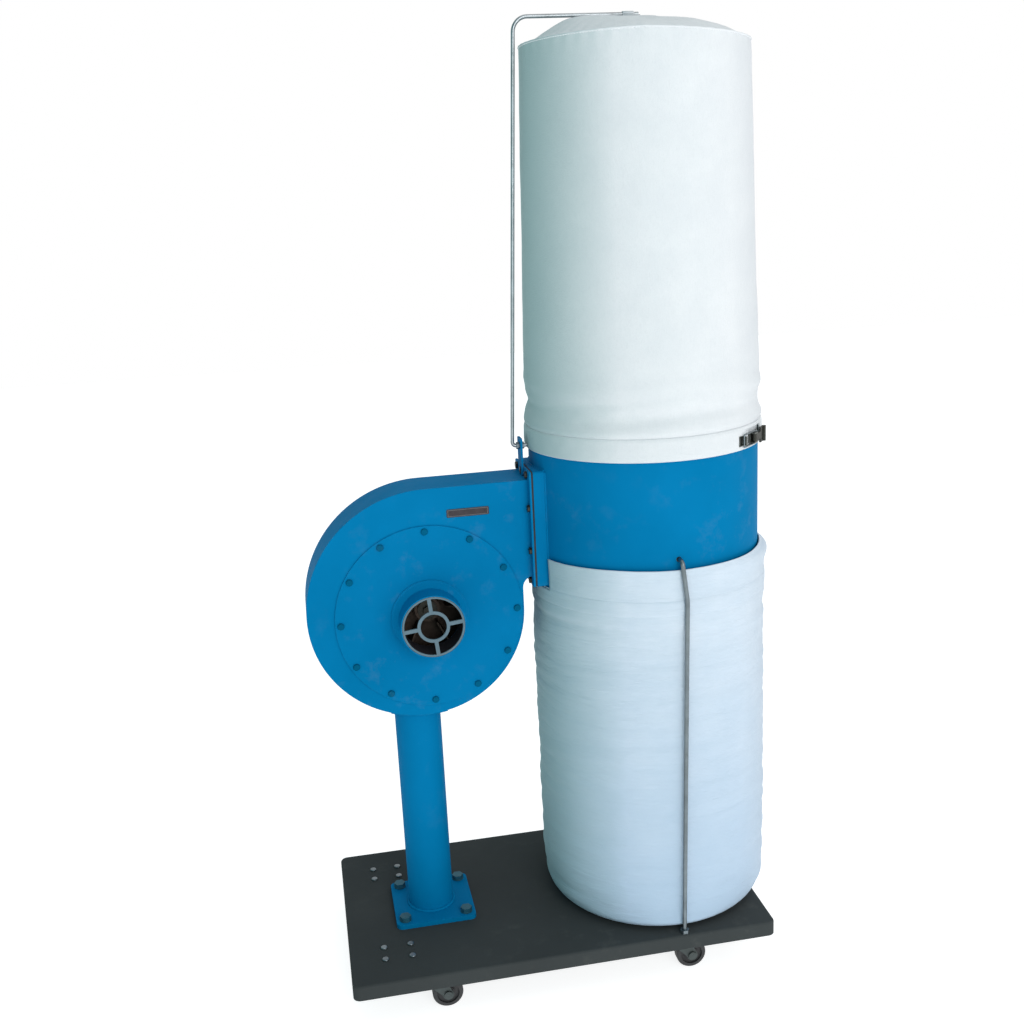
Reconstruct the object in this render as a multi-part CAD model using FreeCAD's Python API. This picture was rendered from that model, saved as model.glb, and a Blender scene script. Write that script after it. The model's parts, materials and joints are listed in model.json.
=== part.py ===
"""Single-bag dust collector on a castored base.

A radial blower on a post draws air in through a 100 mm hose spigot and blows it
into a sheet-metal collar. A felt filter bag stands on the collar and a collection
bag hangs under it.

Units are millimetres. +X runs from the blower to the bags, +Y from the hose spigot
to the motor, and +Z is up. The design is laid out about the middle of the base, and
everything is moved at export so that the origin is the floor point under the middle
of the whole machine.
"""
import FreeCAD
import Part
import math
import os

V = FreeCAD.Vector
X_AXIS, Y_AXIS, Z_AXIS = V(1, 0, 0), V(0, 1, 0), V(0, 0, 1)

# ---------------------------------------------------------------- driving dimensions
# Base tray: a folded sheet with a skirt all round.
base_length, base_width = 700.0, 395.0
base_top, base_sheet, base_skirt = 78.0, 3.0, 25.0
base_corner = 12.0

# Casters: 50 mm wheels on trailing forks.
caster_middle_x, caster_half_spacing = -18.0, 205.0
caster_y = 165.0
caster_trail = 24.0
wheel_radius, wheel_half_width, wheel_boss_half = 25.0, 9.0, 10.6
axle_radius, kingpin_radius = 4.0, 5.0
running_clearance = 0.05
fork_inner, fork_plate = 11.0, 2.5
mount_plate = 4.0
mount_bolt_offset = (48.0, 44.0)
mount_bolt_half = (22.0, 16.0)

# Post that carries the blower.
post_x, post_y = -201.0, 5.0
post_radius, post_wall = 38.0, 3.0
post_plate_size, post_plate_thick = 135.0, 8.0
post_bolt_half = 52.0

# Blower casing: three quarter arcs of growing radius, then a straight duct.
blower_x, blower_z = -174.0, 621.0
scroll_front, scroll_back = -45.0, 40.0
scroll_sheet = 2.0
scroll_right, scroll_bottom, scroll_left, scroll_top = 153.0, 166.5, 193.0, 208.5
duct_end, duct_floor, tongue_radius = 171.0, 50.0, 18.0
flange_lip, flange_sheet = 15.0, 3.0

# Hose inlet.
cover_radius, cover_screw_circle, cover_screw_count = 150.0, 141.0, 12
spigot_radius, spigot_wall, spigot_length = 51.0, 2.0, 48.0
guard_turn = 6.0

# Impeller and motor, all on one axis along Y.
impeller_radius, impeller_blades = 122.0, 6
shaft_radius = 10.0
motor_radius, motor_fin_radius = 71.0, 78.0
motor_front, motor_body_end, motor_end = 40.0, 190.0, 258.0

# Collar between the bags.
collar_x = 194.4
collar_radius, collar_sheet = 185.0, 1.5
collar_low, collar_high = 625.0, 905.0

# Bags.
cloth = 2.0
filter_hem_low = 872.0
filter_rim_radius, filter_rim_z, filter_top_z = 171.0, 1476.0, 1508.0
dust_bag_x, dust_bag_radius, dust_hem_radius = 198.0, 196.0, 190.8
dust_hem_high = 704.0

# Clamp bands and their draw latches.
band_thick, band_height = 1.2, 16.0
upper_band_z, upper_latch_angle = 886.0, -47.0
lower_band_z, lower_latch_angle = 643.0, 58.0

# Rods.
support_rod_radius, hanger_rod_radius = 3.5, 3.0
support_rod_clear = 12.5
support_rod_top_z, support_rod_end = 719.0, 10.5
hanger_foot_z, hanger_z = 877.0, 1514.0

# Fasteners: shank, clearance hole (both radii) and the head's width across flats.
m6_shank, m6_hole, m6_flats = 3.0, 3.25, 10.0
m8_hole, m8_flats = 4.3, 13.0
m10_shank, m10_hole, m10_flats = 5.0, 5.5, 17.0
cover_screw_shank, cover_screw_hole, cover_screw_head = 2.9, 3.1, 5.5

# Push-button switch.
button_radius, button_travel = 9.0, 3.0

# ------------------------------------------------------------------ derived positions
skirt_low = base_top - base_skirt
tray_under = base_top - base_sheet
duct_end_x = blower_x + duct_end
arc_right_centre = V(scroll_right - scroll_bottom, 0, 0)
arc_right_radius = scroll_bottom
arc_left_radius = scroll_left + arc_right_centre.x
arc_left_centre = V(arc_right_centre.x, 0, arc_left_radius - arc_right_radius)
arc_top_radius = scroll_top - arc_left_centre.z
arc_top_centre = V(arc_left_centre.x + arc_top_radius - arc_left_radius, 0, arc_left_centre.z)
gasket_x = duct_end_x
neck_x = gasket_x + flange_sheet

left_end = blower_x - scroll_left
right_end = dust_bag_x + dust_bag_radius
front_end = -(collar_radius + support_rod_clear + support_rod_radius)
origin = V((left_end + right_end) / 2, (front_end + motor_end) / 2, 0)

NODES = {}


# ---------------------------------------------------------------------------- helpers
def add(name, shape):
    """Keep a finished sub-part under the name that its file gets."""
    NODES[name] = shape


def box(x0, x1, y0, y1, z0, z1):
    return Part.makeBox(x1 - x0, y1 - y0, z1 - z0, V(x0, y0, z0))


def rod(radius, start, end):
    """A plain cylinder from one point to another."""
    return Part.makeCylinder(radius, (end - start).Length, start, end - start)


def ring(outer, inner, start, end):
    return rod(outer, start, end).cut(rod(inner, start, end))


def soften(shape, radius, axis):
    """Round every straight edge that runs along an axis."""
    edges = [e for e in shape.Edges
             if isinstance(e.Curve, Part.Line) and abs(e.tangentAt(e.FirstParameter).dot(axis)) > 0.999]
    return shape.makeFillet(radius, edges)


def hexagon(across_flats, start, end):
    """A hexagon bar, for bolt heads and nuts."""
    direction = (end - start).normalize()
    side = V(0, 0, 1) if abs(direction.z) < 0.9 else V(1, 0, 0)
    turn = FreeCAD.Rotation(direction, 60)
    arm = side * (across_flats / math.sqrt(3))
    points = [start + arm]
    for _ in range(6):
        arm = turn.multVec(arm)
        points.append(start + arm)
    return Part.Face(Part.makePolygon(points)).extrude(end - start)


def join(shapes):
    whole = shapes[0]
    for shape in shapes[1:]:
        whole = whole.fuse(shape)
    return whole.removeSplitter()


def drill(shape, tools):
    for tool in tools:
        shape = shape.cut(tool)
    return shape


def group(shapes):
    """Identical loose pieces that share one node."""
    return Part.makeCompound(shapes)


def bent_rod(points, radius, bends):
    """A round rod through the points, with an arc of its own radius at each corner."""
    edges, here = [], points[0]
    for before, corner, after, bend in zip(points, points[1:], points[2:], bends):
        arrive, leave = (corner - before).normalize(), (after - corner).normalize()
        half_turn = arrive.getAngle(leave) / 2
        back = bend * math.tan(half_turn)
        start, end = corner - arrive * back, corner + leave * back
        inward = (leave - arrive).normalize()
        middle = corner + inward * (bend / math.cos(half_turn) - bend)
        edges += [Part.LineSegment(here, start).toShape(), Part.Arc(start, middle, end).toShape()]
        here = end
    edges.append(Part.LineSegment(here, points[-1]).toShape())
    path = Part.Wire(edges)
    section = Part.Wire(Part.makeCircle(radius, points[0], points[1] - points[0]))
    return path.makePipeShell([section], True, True)


def revolved(profile, axis_point):
    """A solid of revolution about a vertical axis, from (radius, height) points."""
    points = [V(axis_point.x + r, axis_point.y, z) for r, z in profile]
    face = Part.Face(Part.makePolygon(points + points[:1]))
    return face.revolve(axis_point, Z_AXIS, 360)


def on_blower(x, y, z):
    """A point given about the blower's axis."""
    return V(blower_x + x, y, blower_z + z)


def around_blower(radius, degrees, y):
    angle = math.radians(degrees)
    return on_blower(radius * math.cos(angle), y, radius * math.sin(angle))


# ------------------------------------------------------------------------ base and post
def make_base():
    half_x, half_y = base_length / 2, base_width / 2
    tray = soften(box(-half_x, half_x, -half_y, half_y, skirt_low, base_top), base_corner, Z_AXIS)
    top_edges = [e for e in tray.Edges if abs(e.BoundBox.ZMin - base_top) < 0.01]
    tray = tray.makeFillet(base_sheet + 1, top_edges)
    inner_x, inner_y = half_x - base_sheet, half_y - base_sheet
    hollow = box(-inner_x, inner_x, -inner_y, inner_y, skirt_low - 1, tray_under)
    tray = tray.cut(soften(hollow, base_corner - base_sheet, Z_AXIS))
    holes = [rod(m10_hole, p - Z_AXIS * 20, p + Z_AXIS * 5) for p in post_bolt_points()]
    holes += [rod(m6_hole, p - Z_AXIS * 20, p + Z_AXIS * 5) for p in mount_bolt_points()]
    holes += [rod(m8_hole, foot - Z_AXIS * 20, foot + Z_AXIS * 5) for foot in map(rod_foot, (-1, 1))]
    add("base_tray", drill(tray, holes))


def post_bolt_points():
    return [V(post_x + 2 + i * post_bolt_half, post_y + j * post_bolt_half, base_top)
            for i in (-1, 1) for j in (-1, 1)]


def make_post():
    half = post_plate_size / 2
    plate_top = base_top + post_plate_thick
    plate_x = post_x + 2
    plate = soften(box(plate_x - half, plate_x + half, post_y - half, post_y + half,
                       base_top, plate_top), 10, Z_AXIS)
    holes = [rod(m10_hole, p - Z_AXIS, p + Z_AXIS * 20) for p in post_bolt_points()]
    add("post_base_plate", drill(plate, holes))

    saddle_thick = 3.0
    cradle_centre = on_blower(arc_left_centre.x, 0, arc_left_centre.z)
    reach = Y_AXIS * 200
    cradle = rod(arc_left_radius + saddle_thick, cradle_centre - reach, cradle_centre + reach)
    tube = ring(post_radius, post_radius - post_wall, V(post_x, post_y, plate_top),
                V(post_x, post_y, blower_z - 130))
    add("post_tube", tube.cut(cradle))

    pad = box(post_x - 46, post_x + 46, scroll_front + 4, scroll_back, 430, blower_z - 130)
    pad = pad.common(cradle)
    casing = Part.Face(scroll_outline(0)).extrude(Y_AXIS * (scroll_back - scroll_front))
    add("post_saddle", pad.cut(casing))

    bolts = []
    for point in post_bolt_points():
        deck = V(point.x, point.y, plate_top)
        head = hexagon(m10_flats, deck + Z_AXIS * 2, deck + Z_AXIS * 8.4)
        shank = rod(m10_shank, V(point.x, point.y, tray_under - 12), deck + Z_AXIS * 3)
        washer = ring(10, m10_shank, deck, deck + Z_AXIS * 2)
        nut = hexagon(m10_flats, V(point.x, point.y, tray_under - 8), V(point.x, point.y, tray_under))
        bolts.append(join([head, shank, washer, nut]))
    add("post_bolts", group(bolts))


# ----------------------------------------------------------------------------- casters
def caster_places():
    """(name, swivel point on the floor, side towards the base's end, side towards its edge)."""
    for along, x_name in ((-1, "left"), (1, "right")):
        for across, y_name in ((-1, "front"), (1, "rear")):
            x = caster_middle_x + along * caster_half_spacing
            yield f"{y_name}_{x_name}", V(x, across * caster_y, 0), along, across


def mount_bolt_points():
    points = []
    for _, foot, along, across in caster_places():
        middle = foot + V(along * mount_bolt_offset[0], -across * mount_bolt_offset[1], base_top)
        points += [middle + V(i * mount_bolt_half[0], j * mount_bolt_half[1], 0)
                   for i in (-1, 1) for j in (-1, 1)]
    return points


def make_casters():
    mounts, plate_low = [], tray_under - mount_plate
    race_low = plate_low - 4
    for name, foot, along, across in caster_places():
        end, edge, inner = foot.x + along * 77, foot.y + across * 25, foot.y - across * 67
        near = foot.x - along * 27
        plate = soften(box(min(end, near), max(end, near), min(edge, inner), max(edge, inner),
                           plate_low, tray_under), 6, Z_AXIS)
        race = rod(22, foot + Z_AXIS * race_low, foot + Z_AXIS * plate_low)
        bore = rod(kingpin_radius + running_clearance, foot, foot + Z_AXIS * tray_under)
        recess = rod(8.5, foot + Z_AXIS * (plate_low + 1.2), foot + Z_AXIS * tray_under)
        mounts.append(drill(join([plate, race]), [bore, recess]))
        add(f"fork_{name}", caster_fork(foot, race_low - 0.3, plate_low + 1.5))
        add(f"wheel_{name}", caster_wheel(foot + V(caster_trail, 0, wheel_radius)))
    holes = [rod(m6_hole, p - Z_AXIS * 20, p) for p in mount_bolt_points()]
    holes += [rod(9, rod_foot(side) - Z_AXIS * 20, rod_foot(side)) for side in (-1, 1)]
    add("caster_mounts", group([drill(mount, holes) for mount in mounts]))

    bolts = []
    for point in mount_bolt_points():
        head = rod(5.5, point, point + Z_AXIS * 2.8)
        head = head.makeFillet(1.6, [e for e in head.Edges if e.BoundBox.ZMin > base_top + 2])
        shank = rod(m6_shank, V(point.x, point.y, plate_low - 7), point)
        nut = hexagon(m6_flats, V(point.x, point.y, plate_low - 5), V(point.x, point.y, plate_low))
        bolts.append(join([head, shank, nut]))
    add("caster_mount_bolts", group(bolts))


def caster_fork(foot, top, head_low):
    """Swivel disc with its kingpin, two cheeks and the riveted axle."""
    disc = rod(20, foot + Z_AXIS * (top - 3), foot + Z_AXIS * top)
    kingpin = rod(kingpin_radius, foot + Z_AXIS * (top - 1), foot + Z_AXIS * (head_low + 1))
    head = rod(8, foot + Z_AXIS * head_low, foot + Z_AXIS * (head_low + 2))
    axle_at = foot + V(caster_trail, 0, wheel_radius)
    pieces = [disc, kingpin, head]
    outer = fork_inner + fork_plate
    for side in (-1, 1):
        y = foot.y + side * (fork_inner + fork_plate / 2)
        corners = [V(foot.x - 15, 0, top - 1), V(foot.x + 15, 0, top - 1),
                   V(axle_at.x + 9, 0, axle_at.z + 1), V(axle_at.x - 9, 0, axle_at.z - 1),
                   V(foot.x - 15, 0, top - 10)]
        cheek = Part.Face(Part.makePolygon(corners + corners[:1])).extrude(Y_AXIS * fork_plate)
        cheek.translate(V(0, y - fork_plate / 2, 0))
        eye_at = V(axle_at.x, y - fork_plate / 2, axle_at.z)
        eye = rod(9, eye_at, eye_at + Y_AXIS * fork_plate)
        rivet = rod(7, axle_at + Y_AXIS * (side * outer), axle_at + Y_AXIS * (side * (outer + 2.5)))
        pieces += [cheek, eye, rivet]
    pieces.append(rod(axle_radius, axle_at - Y_AXIS * (outer + 1), axle_at + Y_AXIS * (outer + 1)))
    return join(pieces)


def caster_wheel(centre):
    half, boss = Y_AXIS * wheel_half_width, Y_AXIS * wheel_boss_half
    tyre = rod(wheel_radius, centre - half, centre + half)
    tyre = tyre.makeFillet(3.5, [e for e in tyre.Edges if isinstance(e.Curve, Part.Circle)])
    hub = rod(9, centre - boss, centre + boss)
    dishes = [ring(18, 11, centre + half * side, centre + half * (side * 0.6)) for side in (-1, 1)]
    wheel = drill(tyre, dishes).fuse(hub)
    return wheel.cut(rod(axle_radius + running_clearance, centre - boss * 2, centre + boss * 2))


# ---------------------------------------------------------------------- blower casing
def scroll_outline(inset, extra=0.0):
    """The casing's closed outline at its front face, moved inwards by a sheet's thickness."""
    def quarter(centre, radius, start):
        angles = [math.radians(start - turn) for turn in (0, 45, 90)]
        points = [on_blower(centre.x + radius * math.cos(a), scroll_front,
                            centre.z + radius * math.sin(a)) for a in angles]
        return Part.Arc(*points).toShape(), points[0], points[2]

    right, first, _ = quarter(arc_right_centre, arc_right_radius - inset, 0)
    left, _, _ = quarter(arc_left_centre, arc_left_radius - inset, -90)
    top, _, crest = quarter(arc_top_centre, arc_top_radius - inset, 180)
    end = duct_end + extra
    roof = on_blower(end, scroll_front, scroll_top - inset)
    floor = on_blower(end, scroll_front, duct_floor + inset)
    tongue_centre = V(duct_end, 0, duct_floor - tongue_radius)
    reach = tongue_radius + inset
    tongue = [on_blower(tongue_centre.x - reach * math.cos(a), scroll_front,
                        tongue_centre.z + reach * math.sin(a))
              for a in (math.pi / 2, math.pi / 4, 0)]
    edges = [right, left, top, Part.LineSegment(crest, roof).toShape(),
             Part.LineSegment(roof, floor).toShape()]
    if extra > 0:
        edges.append(Part.LineSegment(floor, tongue[0]).toShape())
    edges += [Part.Arc(*tongue).toShape(), Part.LineSegment(tongue[2], first).toShape()]
    return Part.Wire(edges)


def flange_points():
    """(y, z) of the bolts that join the blower's duct to the collar."""
    low, high = blower_z + duct_floor - flange_lip / 2, blower_z + scroll_top + flange_lip / 2
    front, back = scroll_front - flange_lip / 2, scroll_back + flange_lip / 2
    middle = (scroll_front + scroll_back) / 2
    rows = [(y, z) for z in (low, high) for y in (front + 12, middle, back - 12)]
    columns = [(y, z) for y in (front, back) for z in (low + 52, high - 52)]
    return rows + columns


def flange_frame(x0, x1, trim=0.0):
    """The rectangular frame around the duct's mouth, with its bolt holes."""
    y0, y1 = scroll_front - flange_lip + trim, scroll_back + flange_lip - trim
    z0, z1 = blower_z + duct_floor - flange_lip + trim, blower_z + scroll_top + flange_lip - trim
    frame = soften(box(x0, x1, y0, y1, z0, z1), 4, X_AXIS)
    mouth = box(x0 - 1, x1 + 1, scroll_front + scroll_sheet, scroll_back - scroll_sheet,
                blower_z + duct_floor + scroll_sheet, blower_z + scroll_top - scroll_sheet)
    holes = [rod(m6_hole, V(x0 - 1, y, z), V(x1 + 1, y, z)) for y, z in flange_points()]
    return drill(frame, [mouth] + holes)


def make_casing():
    depth = scroll_back - scroll_front
    whole = Part.Face(scroll_outline(0))
    sheet = Y_AXIS * scroll_sheet
    screw_holes = [rod(cover_screw_hole, around_blower(cover_screw_circle, a, -60),
                       around_blower(cover_screw_circle, a, 0)) for a in screw_angles()]

    front = whole.extrude(sheet)
    front = front.cut(rod(130, on_blower(0, -60, 0), on_blower(0, 0, 0)))
    add("scroll_front_plate", drill(front, screw_holes))

    back = whole.extrude(sheet)
    back.translate(Y_AXIS * (depth - scroll_sheet))
    holes = [rod(m10_hole, p - Y_AXIS * 20, p + Y_AXIS * 20) for p in motor_bolt_points()]
    holes.append(rod(28, on_blower(0, 0, 0), on_blower(0, 60, 0)))
    add("scroll_back_plate", drill(back, holes))

    band = whole.extrude(Y_AXIS * (depth - 2 * scroll_sheet))
    hollow = Part.Face(scroll_outline(scroll_sheet, 20)).extrude(Y_AXIS * depth)
    band = band.cut(hollow)
    band.translate(sheet)
    add("scroll_band", band)
    lip = flange_frame(duct_end_x - flange_sheet, duct_end_x)
    casing = Part.Face(scroll_outline(0)).extrude(Y_AXIS * depth)
    add("outlet_flange", lip.cut(casing))

    cover = ring(cover_radius, spigot_radius - spigot_wall, on_blower(0, scroll_front - 2, 0),
                 on_blower(0, scroll_front, 0))
    add("inlet_cover", drill(cover, screw_holes))
    screws = []
    for angle in screw_angles():
        face = around_blower(cover_screw_circle, angle, scroll_front - 2)
        head = rod(cover_screw_head, face - Y_AXIS * 3.2, face)
        head = head.makeFillet(1.8, [e for e in head.Edges if e.BoundBox.YMax < face.y - 3])
        screws.append(head.fuse(rod(cover_screw_shank, face, face + Y_AXIS * 7)))
    add("cover_screws", group(screws))

    plate_x, plate_z = 70.5, 166.0
    plate = box(blower_x + plate_x - 33.5, blower_x + plate_x + 33.5, scroll_front - 0.8,
                scroll_front, blower_z + plate_z - 6.5, blower_z + plate_z + 6.5)
    plate = soften(plate, 2, Y_AXIS)
    rivets = [rod(1.6, on_blower(plate_x + s * 29, scroll_front - 1.8, plate_z),
                  on_blower(plate_x + s * 29, scroll_front - 0.8, plate_z)) for s in (-1, 1)]
    add("name_plate", join([plate] + rivets))


def screw_angles():
    return [i * 360.0 / cover_screw_count for i in range(cover_screw_count)]


def make_inlet():
    seat = scroll_front - 2
    mouth = seat - spigot_length
    inner = spigot_radius - spigot_wall
    foot = rod(62, on_blower(0, seat - 2, 0), on_blower(0, seat, 0))
    cone = Part.makeCone(59, spigot_radius, 8, on_blower(0, seat - 2, 0), -Y_AXIS)
    tube = rod(spigot_radius, on_blower(0, mouth, 0), on_blower(0, seat, 0))
    spigot = join([foot, cone, tube])
    add("inlet_spigot", spigot.cut(rod(inner, on_blower(0, mouth - 1, 0), on_blower(0, seat + 1, 0))))

    start, end = on_blower(0, mouth, 0), on_blower(0, mouth + 3, 0)
    rims = [ring(inner, inner - 3, start, end), ring(25.5, 20.5, start, end)]
    spokes = []
    for quarter in range(4):
        spoke = box(blower_x + 24, blower_x + inner - 2, mouth, mouth + 3, blower_z - 3, blower_z + 3)
        spoke.rotate(on_blower(0, 0, 0), Y_AXIS, -guard_turn - 90 * quarter)
        spokes.append(spoke)
    add("inlet_guard", join(rims + spokes))


# --------------------------------------------------------------------- impeller, motor
def motor_bolt_points():
    return [around_blower(82.5, a, scroll_back) for a in (45, 135, 225, 315)]


def make_impeller():
    disc_y, front_y = 23.0, -26.0
    disc = rod(impeller_radius, on_blower(0, disc_y - 3, 0), on_blower(0, disc_y, 0))
    hub = rod(21, on_blower(0, -8, 0), on_blower(0, disc_y + 6, 0))
    blades = []
    for i in range(impeller_blades):
        blade = box(blower_x + 30, blower_x + impeller_radius - 1, front_y, disc_y - 2,
                    blower_z - 1.5, blower_z + 1.5)
        taper = Part.Face(Part.makePolygon([
            V(blower_x + 29, front_y - 1, blower_z - 3), V(blower_x + 75, front_y - 1, blower_z - 3),
            V(blower_x + 29, -2, blower_z - 3), V(blower_x + 29, front_y - 1, blower_z - 3),
        ])).extrude(Z_AXIS * 6)
        blade = blade.cut(taper)
        blade.rotate(on_blower(0, 0, 0), Y_AXIS, i * 360.0 / impeller_blades)
        blades.append(blade)
    impeller = join([disc, hub] + blades)
    add("impeller", impeller.cut(rod(shaft_radius, on_blower(0, -60, 0), on_blower(0, 60, 0))))

    washer = rod(16, on_blower(0, -11, 0), on_blower(0, -8, 0))
    head = hexagon(m8_flats, on_blower(0, -16.3, 0), on_blower(0, -11, 0))
    add("impeller_bolt", join([washer, head]))


def make_motor():
    bearing_width, bearing_radius = 14.0, 23.5
    front_bearing, rear_bearing = motor_front + 15, motor_body_end - 12
    shaft = rod(shaft_radius, on_blower(0, -8, 0), on_blower(0, motor_end - 26, 0))
    core = rod(44.5, on_blower(0, 78, 0), on_blower(0, 162, 0))
    end_rings = ring(40, 24, on_blower(0, 72, 0), on_blower(0, 168, 0))
    add("motor_rotor", join([shaft, core, end_rings]))
    add("stator", ring(motor_radius - 5, 45.2, on_blower(0, 75, 0), on_blower(0, 165, 0)))

    flange = rod(100, on_blower(0, motor_front, 0), on_blower(0, motor_front + 12, 0))
    boss = rod(32, on_blower(0, motor_front + 12, 0), on_blower(0, front_bearing + bearing_width, 0))
    spigot = ring(motor_radius - 5, motor_radius - 9, on_blower(0, motor_front + 12, 0),
                  on_blower(0, motor_front + 20, 0))
    cuts = [rod(12, on_blower(0, 0, 0), on_blower(0, 200, 0)),
            rod(bearing_radius, on_blower(0, front_bearing, 0), on_blower(0, 200, 0))]
    cuts += [rod(m10_hole, p - Y_AXIS * 20, p + Y_AXIS * 20) for p in motor_bolt_points()]
    add("motor_flange", drill(join([flange, boss, spigot]), cuts))

    housing = rod(motor_radius, on_blower(0, motor_front + 12, 0), on_blower(0, motor_body_end, 0))
    fins = []
    for i in range(36):
        angle = i * 10.0
        if min(abs(angle - 180), abs(angle - 90)) < 24:
            continue
        fin = box(blower_x + motor_radius - 4, blower_x + motor_fin_radius, motor_front + 20,
                  motor_body_end - 4, blower_z - 1.5, blower_z + 1.5)
        fin.rotate(on_blower(0, 0, 0), Y_AXIS, -angle)
        fins.append(fin)
    hollow = rod(motor_radius - 5, on_blower(0, 0, 0), on_blower(0, 300, 0))
    add("motor_housing", join([housing] + fins).cut(hollow))

    shield = rod(motor_fin_radius - 1, on_blower(0, motor_body_end, 0), on_blower(0, motor_body_end + 8, 0))
    boss = rod(30, on_blower(0, rear_bearing - 4, 0), on_blower(0, motor_body_end, 0))
    cuts = [rod(12, on_blower(0, 0, 0), on_blower(0, 300, 0)),
            rod(bearing_radius, on_blower(0, 0, 0), on_blower(0, rear_bearing + bearing_width, 0))]
    add("motor_end_shield", drill(join([shield, boss]), cuts))

    bearings = [ring(bearing_radius, shaft_radius + running_clearance, on_blower(0, y, 0),
                     on_blower(0, y + bearing_width, 0)) for y in (front_bearing, rear_bearing)]
    add("motor_bearings", group(bearings))

    bolts = []
    for point in motor_bolt_points():
        face = point + Y_AXIS * 12
        head = hexagon(m10_flats, face, face + Y_AXIS * 6.4)
        shank = rod(m10_shank, point - Y_AXIS * 7, face)
        nut = hexagon(m10_flats, point - Y_AXIS * 8, point - Y_AXIS * scroll_sheet)
        bolts.append(join([head, shank, nut]))
    add("motor_bolts", group(bolts))
    make_fan()
    make_switch()


def make_fan():
    start = motor_body_end + 3
    outer = motor_fin_radius + 0.5
    shell = rod(outer, on_blower(0, start, 0), on_blower(0, motor_end, 0))
    shell = shell.makeFillet(6, [e for e in shell.Edges if e.BoundBox.YMin > motor_end - 1])
    hollow = rod(outer - 1.5, on_blower(0, start - 20, 0), on_blower(0, motor_end - 2, 0))
    hollow = hollow.makeFillet(5, [e for e in hollow.Edges if e.BoundBox.YMin > motor_end - 3])
    holes = []
    for circle, count in ((16, 6), (31, 12), (46, 18), (61, 24)):
        for i in range(count):
            at = around_blower(circle, i * 360.0 / count, motor_end - 8)
            holes.append(rod(4.5, at, at + Y_AXIS * 10))
    cowl = shell.cut(hollow).cut(Part.makeCompound(holes))
    add("fan_cowl", cowl)

    hub_low, hub_high = motor_body_end + 18, motor_end - 26
    hub = rod(16, on_blower(0, hub_low, 0), on_blower(0, hub_high, 0))
    disc = rod(34, on_blower(0, hub_low, 0), on_blower(0, hub_low + 3, 0))
    blades = []
    for i in range(8):
        blade = box(blower_x + 14, blower_x + 64, hub_low, hub_high - 2, blower_z - 1.25, blower_z + 1.25)
        blade.rotate(on_blower(0, 0, 0), Y_AXIS, i * 45)
        blades.append(blade)
    fan = join([hub, disc] + blades)
    add("cooling_fan", fan.cut(rod(shaft_radius, on_blower(0, 0, 0), on_blower(0, 400, 0))))


def make_switch():
    """Capacitor cover on top of the motor and switch box on its side, with its buttons."""
    top = blower_z + motor_radius + 28
    can = rod(22, V(blower_x, 76, top), V(blower_x, 168, top))
    can = can.makeFillet(4, [e for e in can.Edges if isinstance(e.Curve, Part.Circle)])
    foot = box(blower_x - 22, blower_x + 22, 80, 164, blower_z + motor_radius - 12, top)
    barrel = rod(motor_radius, on_blower(0, 0, 0), on_blower(0, 300, 0))
    add("capacitor_cover", join([can, foot]).cut(barrel))

    inner_x = blower_x - motor_fin_radius
    outer_x = inner_x - 52
    y0, y1, z0, z1 = 84.0, 176.0, blower_z - 46, blower_z + 46
    case = soften(box(outer_x, inner_x, y0, y1, z0, z1), 6, X_AXIS)
    hollow = box(outer_x - 1, inner_x - 3, y0 + 3, y1 - 3, z0 + 3, z1 - 3)
    neck = box(inner_x - 1, blower_x - 50, y0 + 20, y1 - 20, blower_z - 24, blower_z + 24).cut(barrel)
    gland_x, gland_y = (outer_x + inner_x) / 2, (y0 + y1) / 2
    gland_hole = rod(8, V(gland_x, gland_y, z0 - 5), V(gland_x, gland_y, z0 + 10))
    add("switch_box", join([case, neck]).cut(hollow).cut(gland_hole))

    plate = soften(box(outer_x - 3, outer_x, y0, y1, z0, z1), 6, X_AXIS)
    buttons = {"start_button": blower_z + 19, "stop_button": blower_z - 19}
    for name, z in buttons.items():
        face = V(outer_x - 3, gland_y, z)
        plate = plate.cut(rod(button_radius + running_clearance, face - X_AXIS * 5, face + X_AXIS * 5))
        cap = rod(button_radius, face - X_AXIS * 5, face + X_AXIS * 8)
        cap = cap.makeFillet(1.5, [e for e in cap.Edges if e.BoundBox.XMax < face.x - 4])
        collar = rod(button_radius + 2, face + X_AXIS * (button_travel + 0.1), face + X_AXIS * 5)
        add(name, join([cap, collar]))
    add("switch_plate", plate)

    nut = hexagon(24, V(gland_x, gland_y, z0), V(gland_x, gland_y, z0 - 6))
    dome = Part.makeCone(11, 8, 18, V(gland_x, gland_y, z0 - 6), -Z_AXIS)
    thread = rod(8, V(gland_x, gland_y, z0 + 8), V(gland_x, gland_y, z0))
    bore = rod(4.5, V(gland_x, gland_y, z0 - 40), V(gland_x, gland_y, z0 + 20))
    add("cable_gland", join([nut, dome, thread]).cut(bore))


# ----------------------------------------------------------------------------- collar
def neck_sides(inset):
    """Low and high corners of the collar's inlet box in y and z."""
    return (scroll_front - flange_lip + inset, scroll_back + flange_lip - inset,
            blower_z + duct_floor - flange_lip + inset, blower_z + scroll_top + flange_lip - inset)


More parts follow.
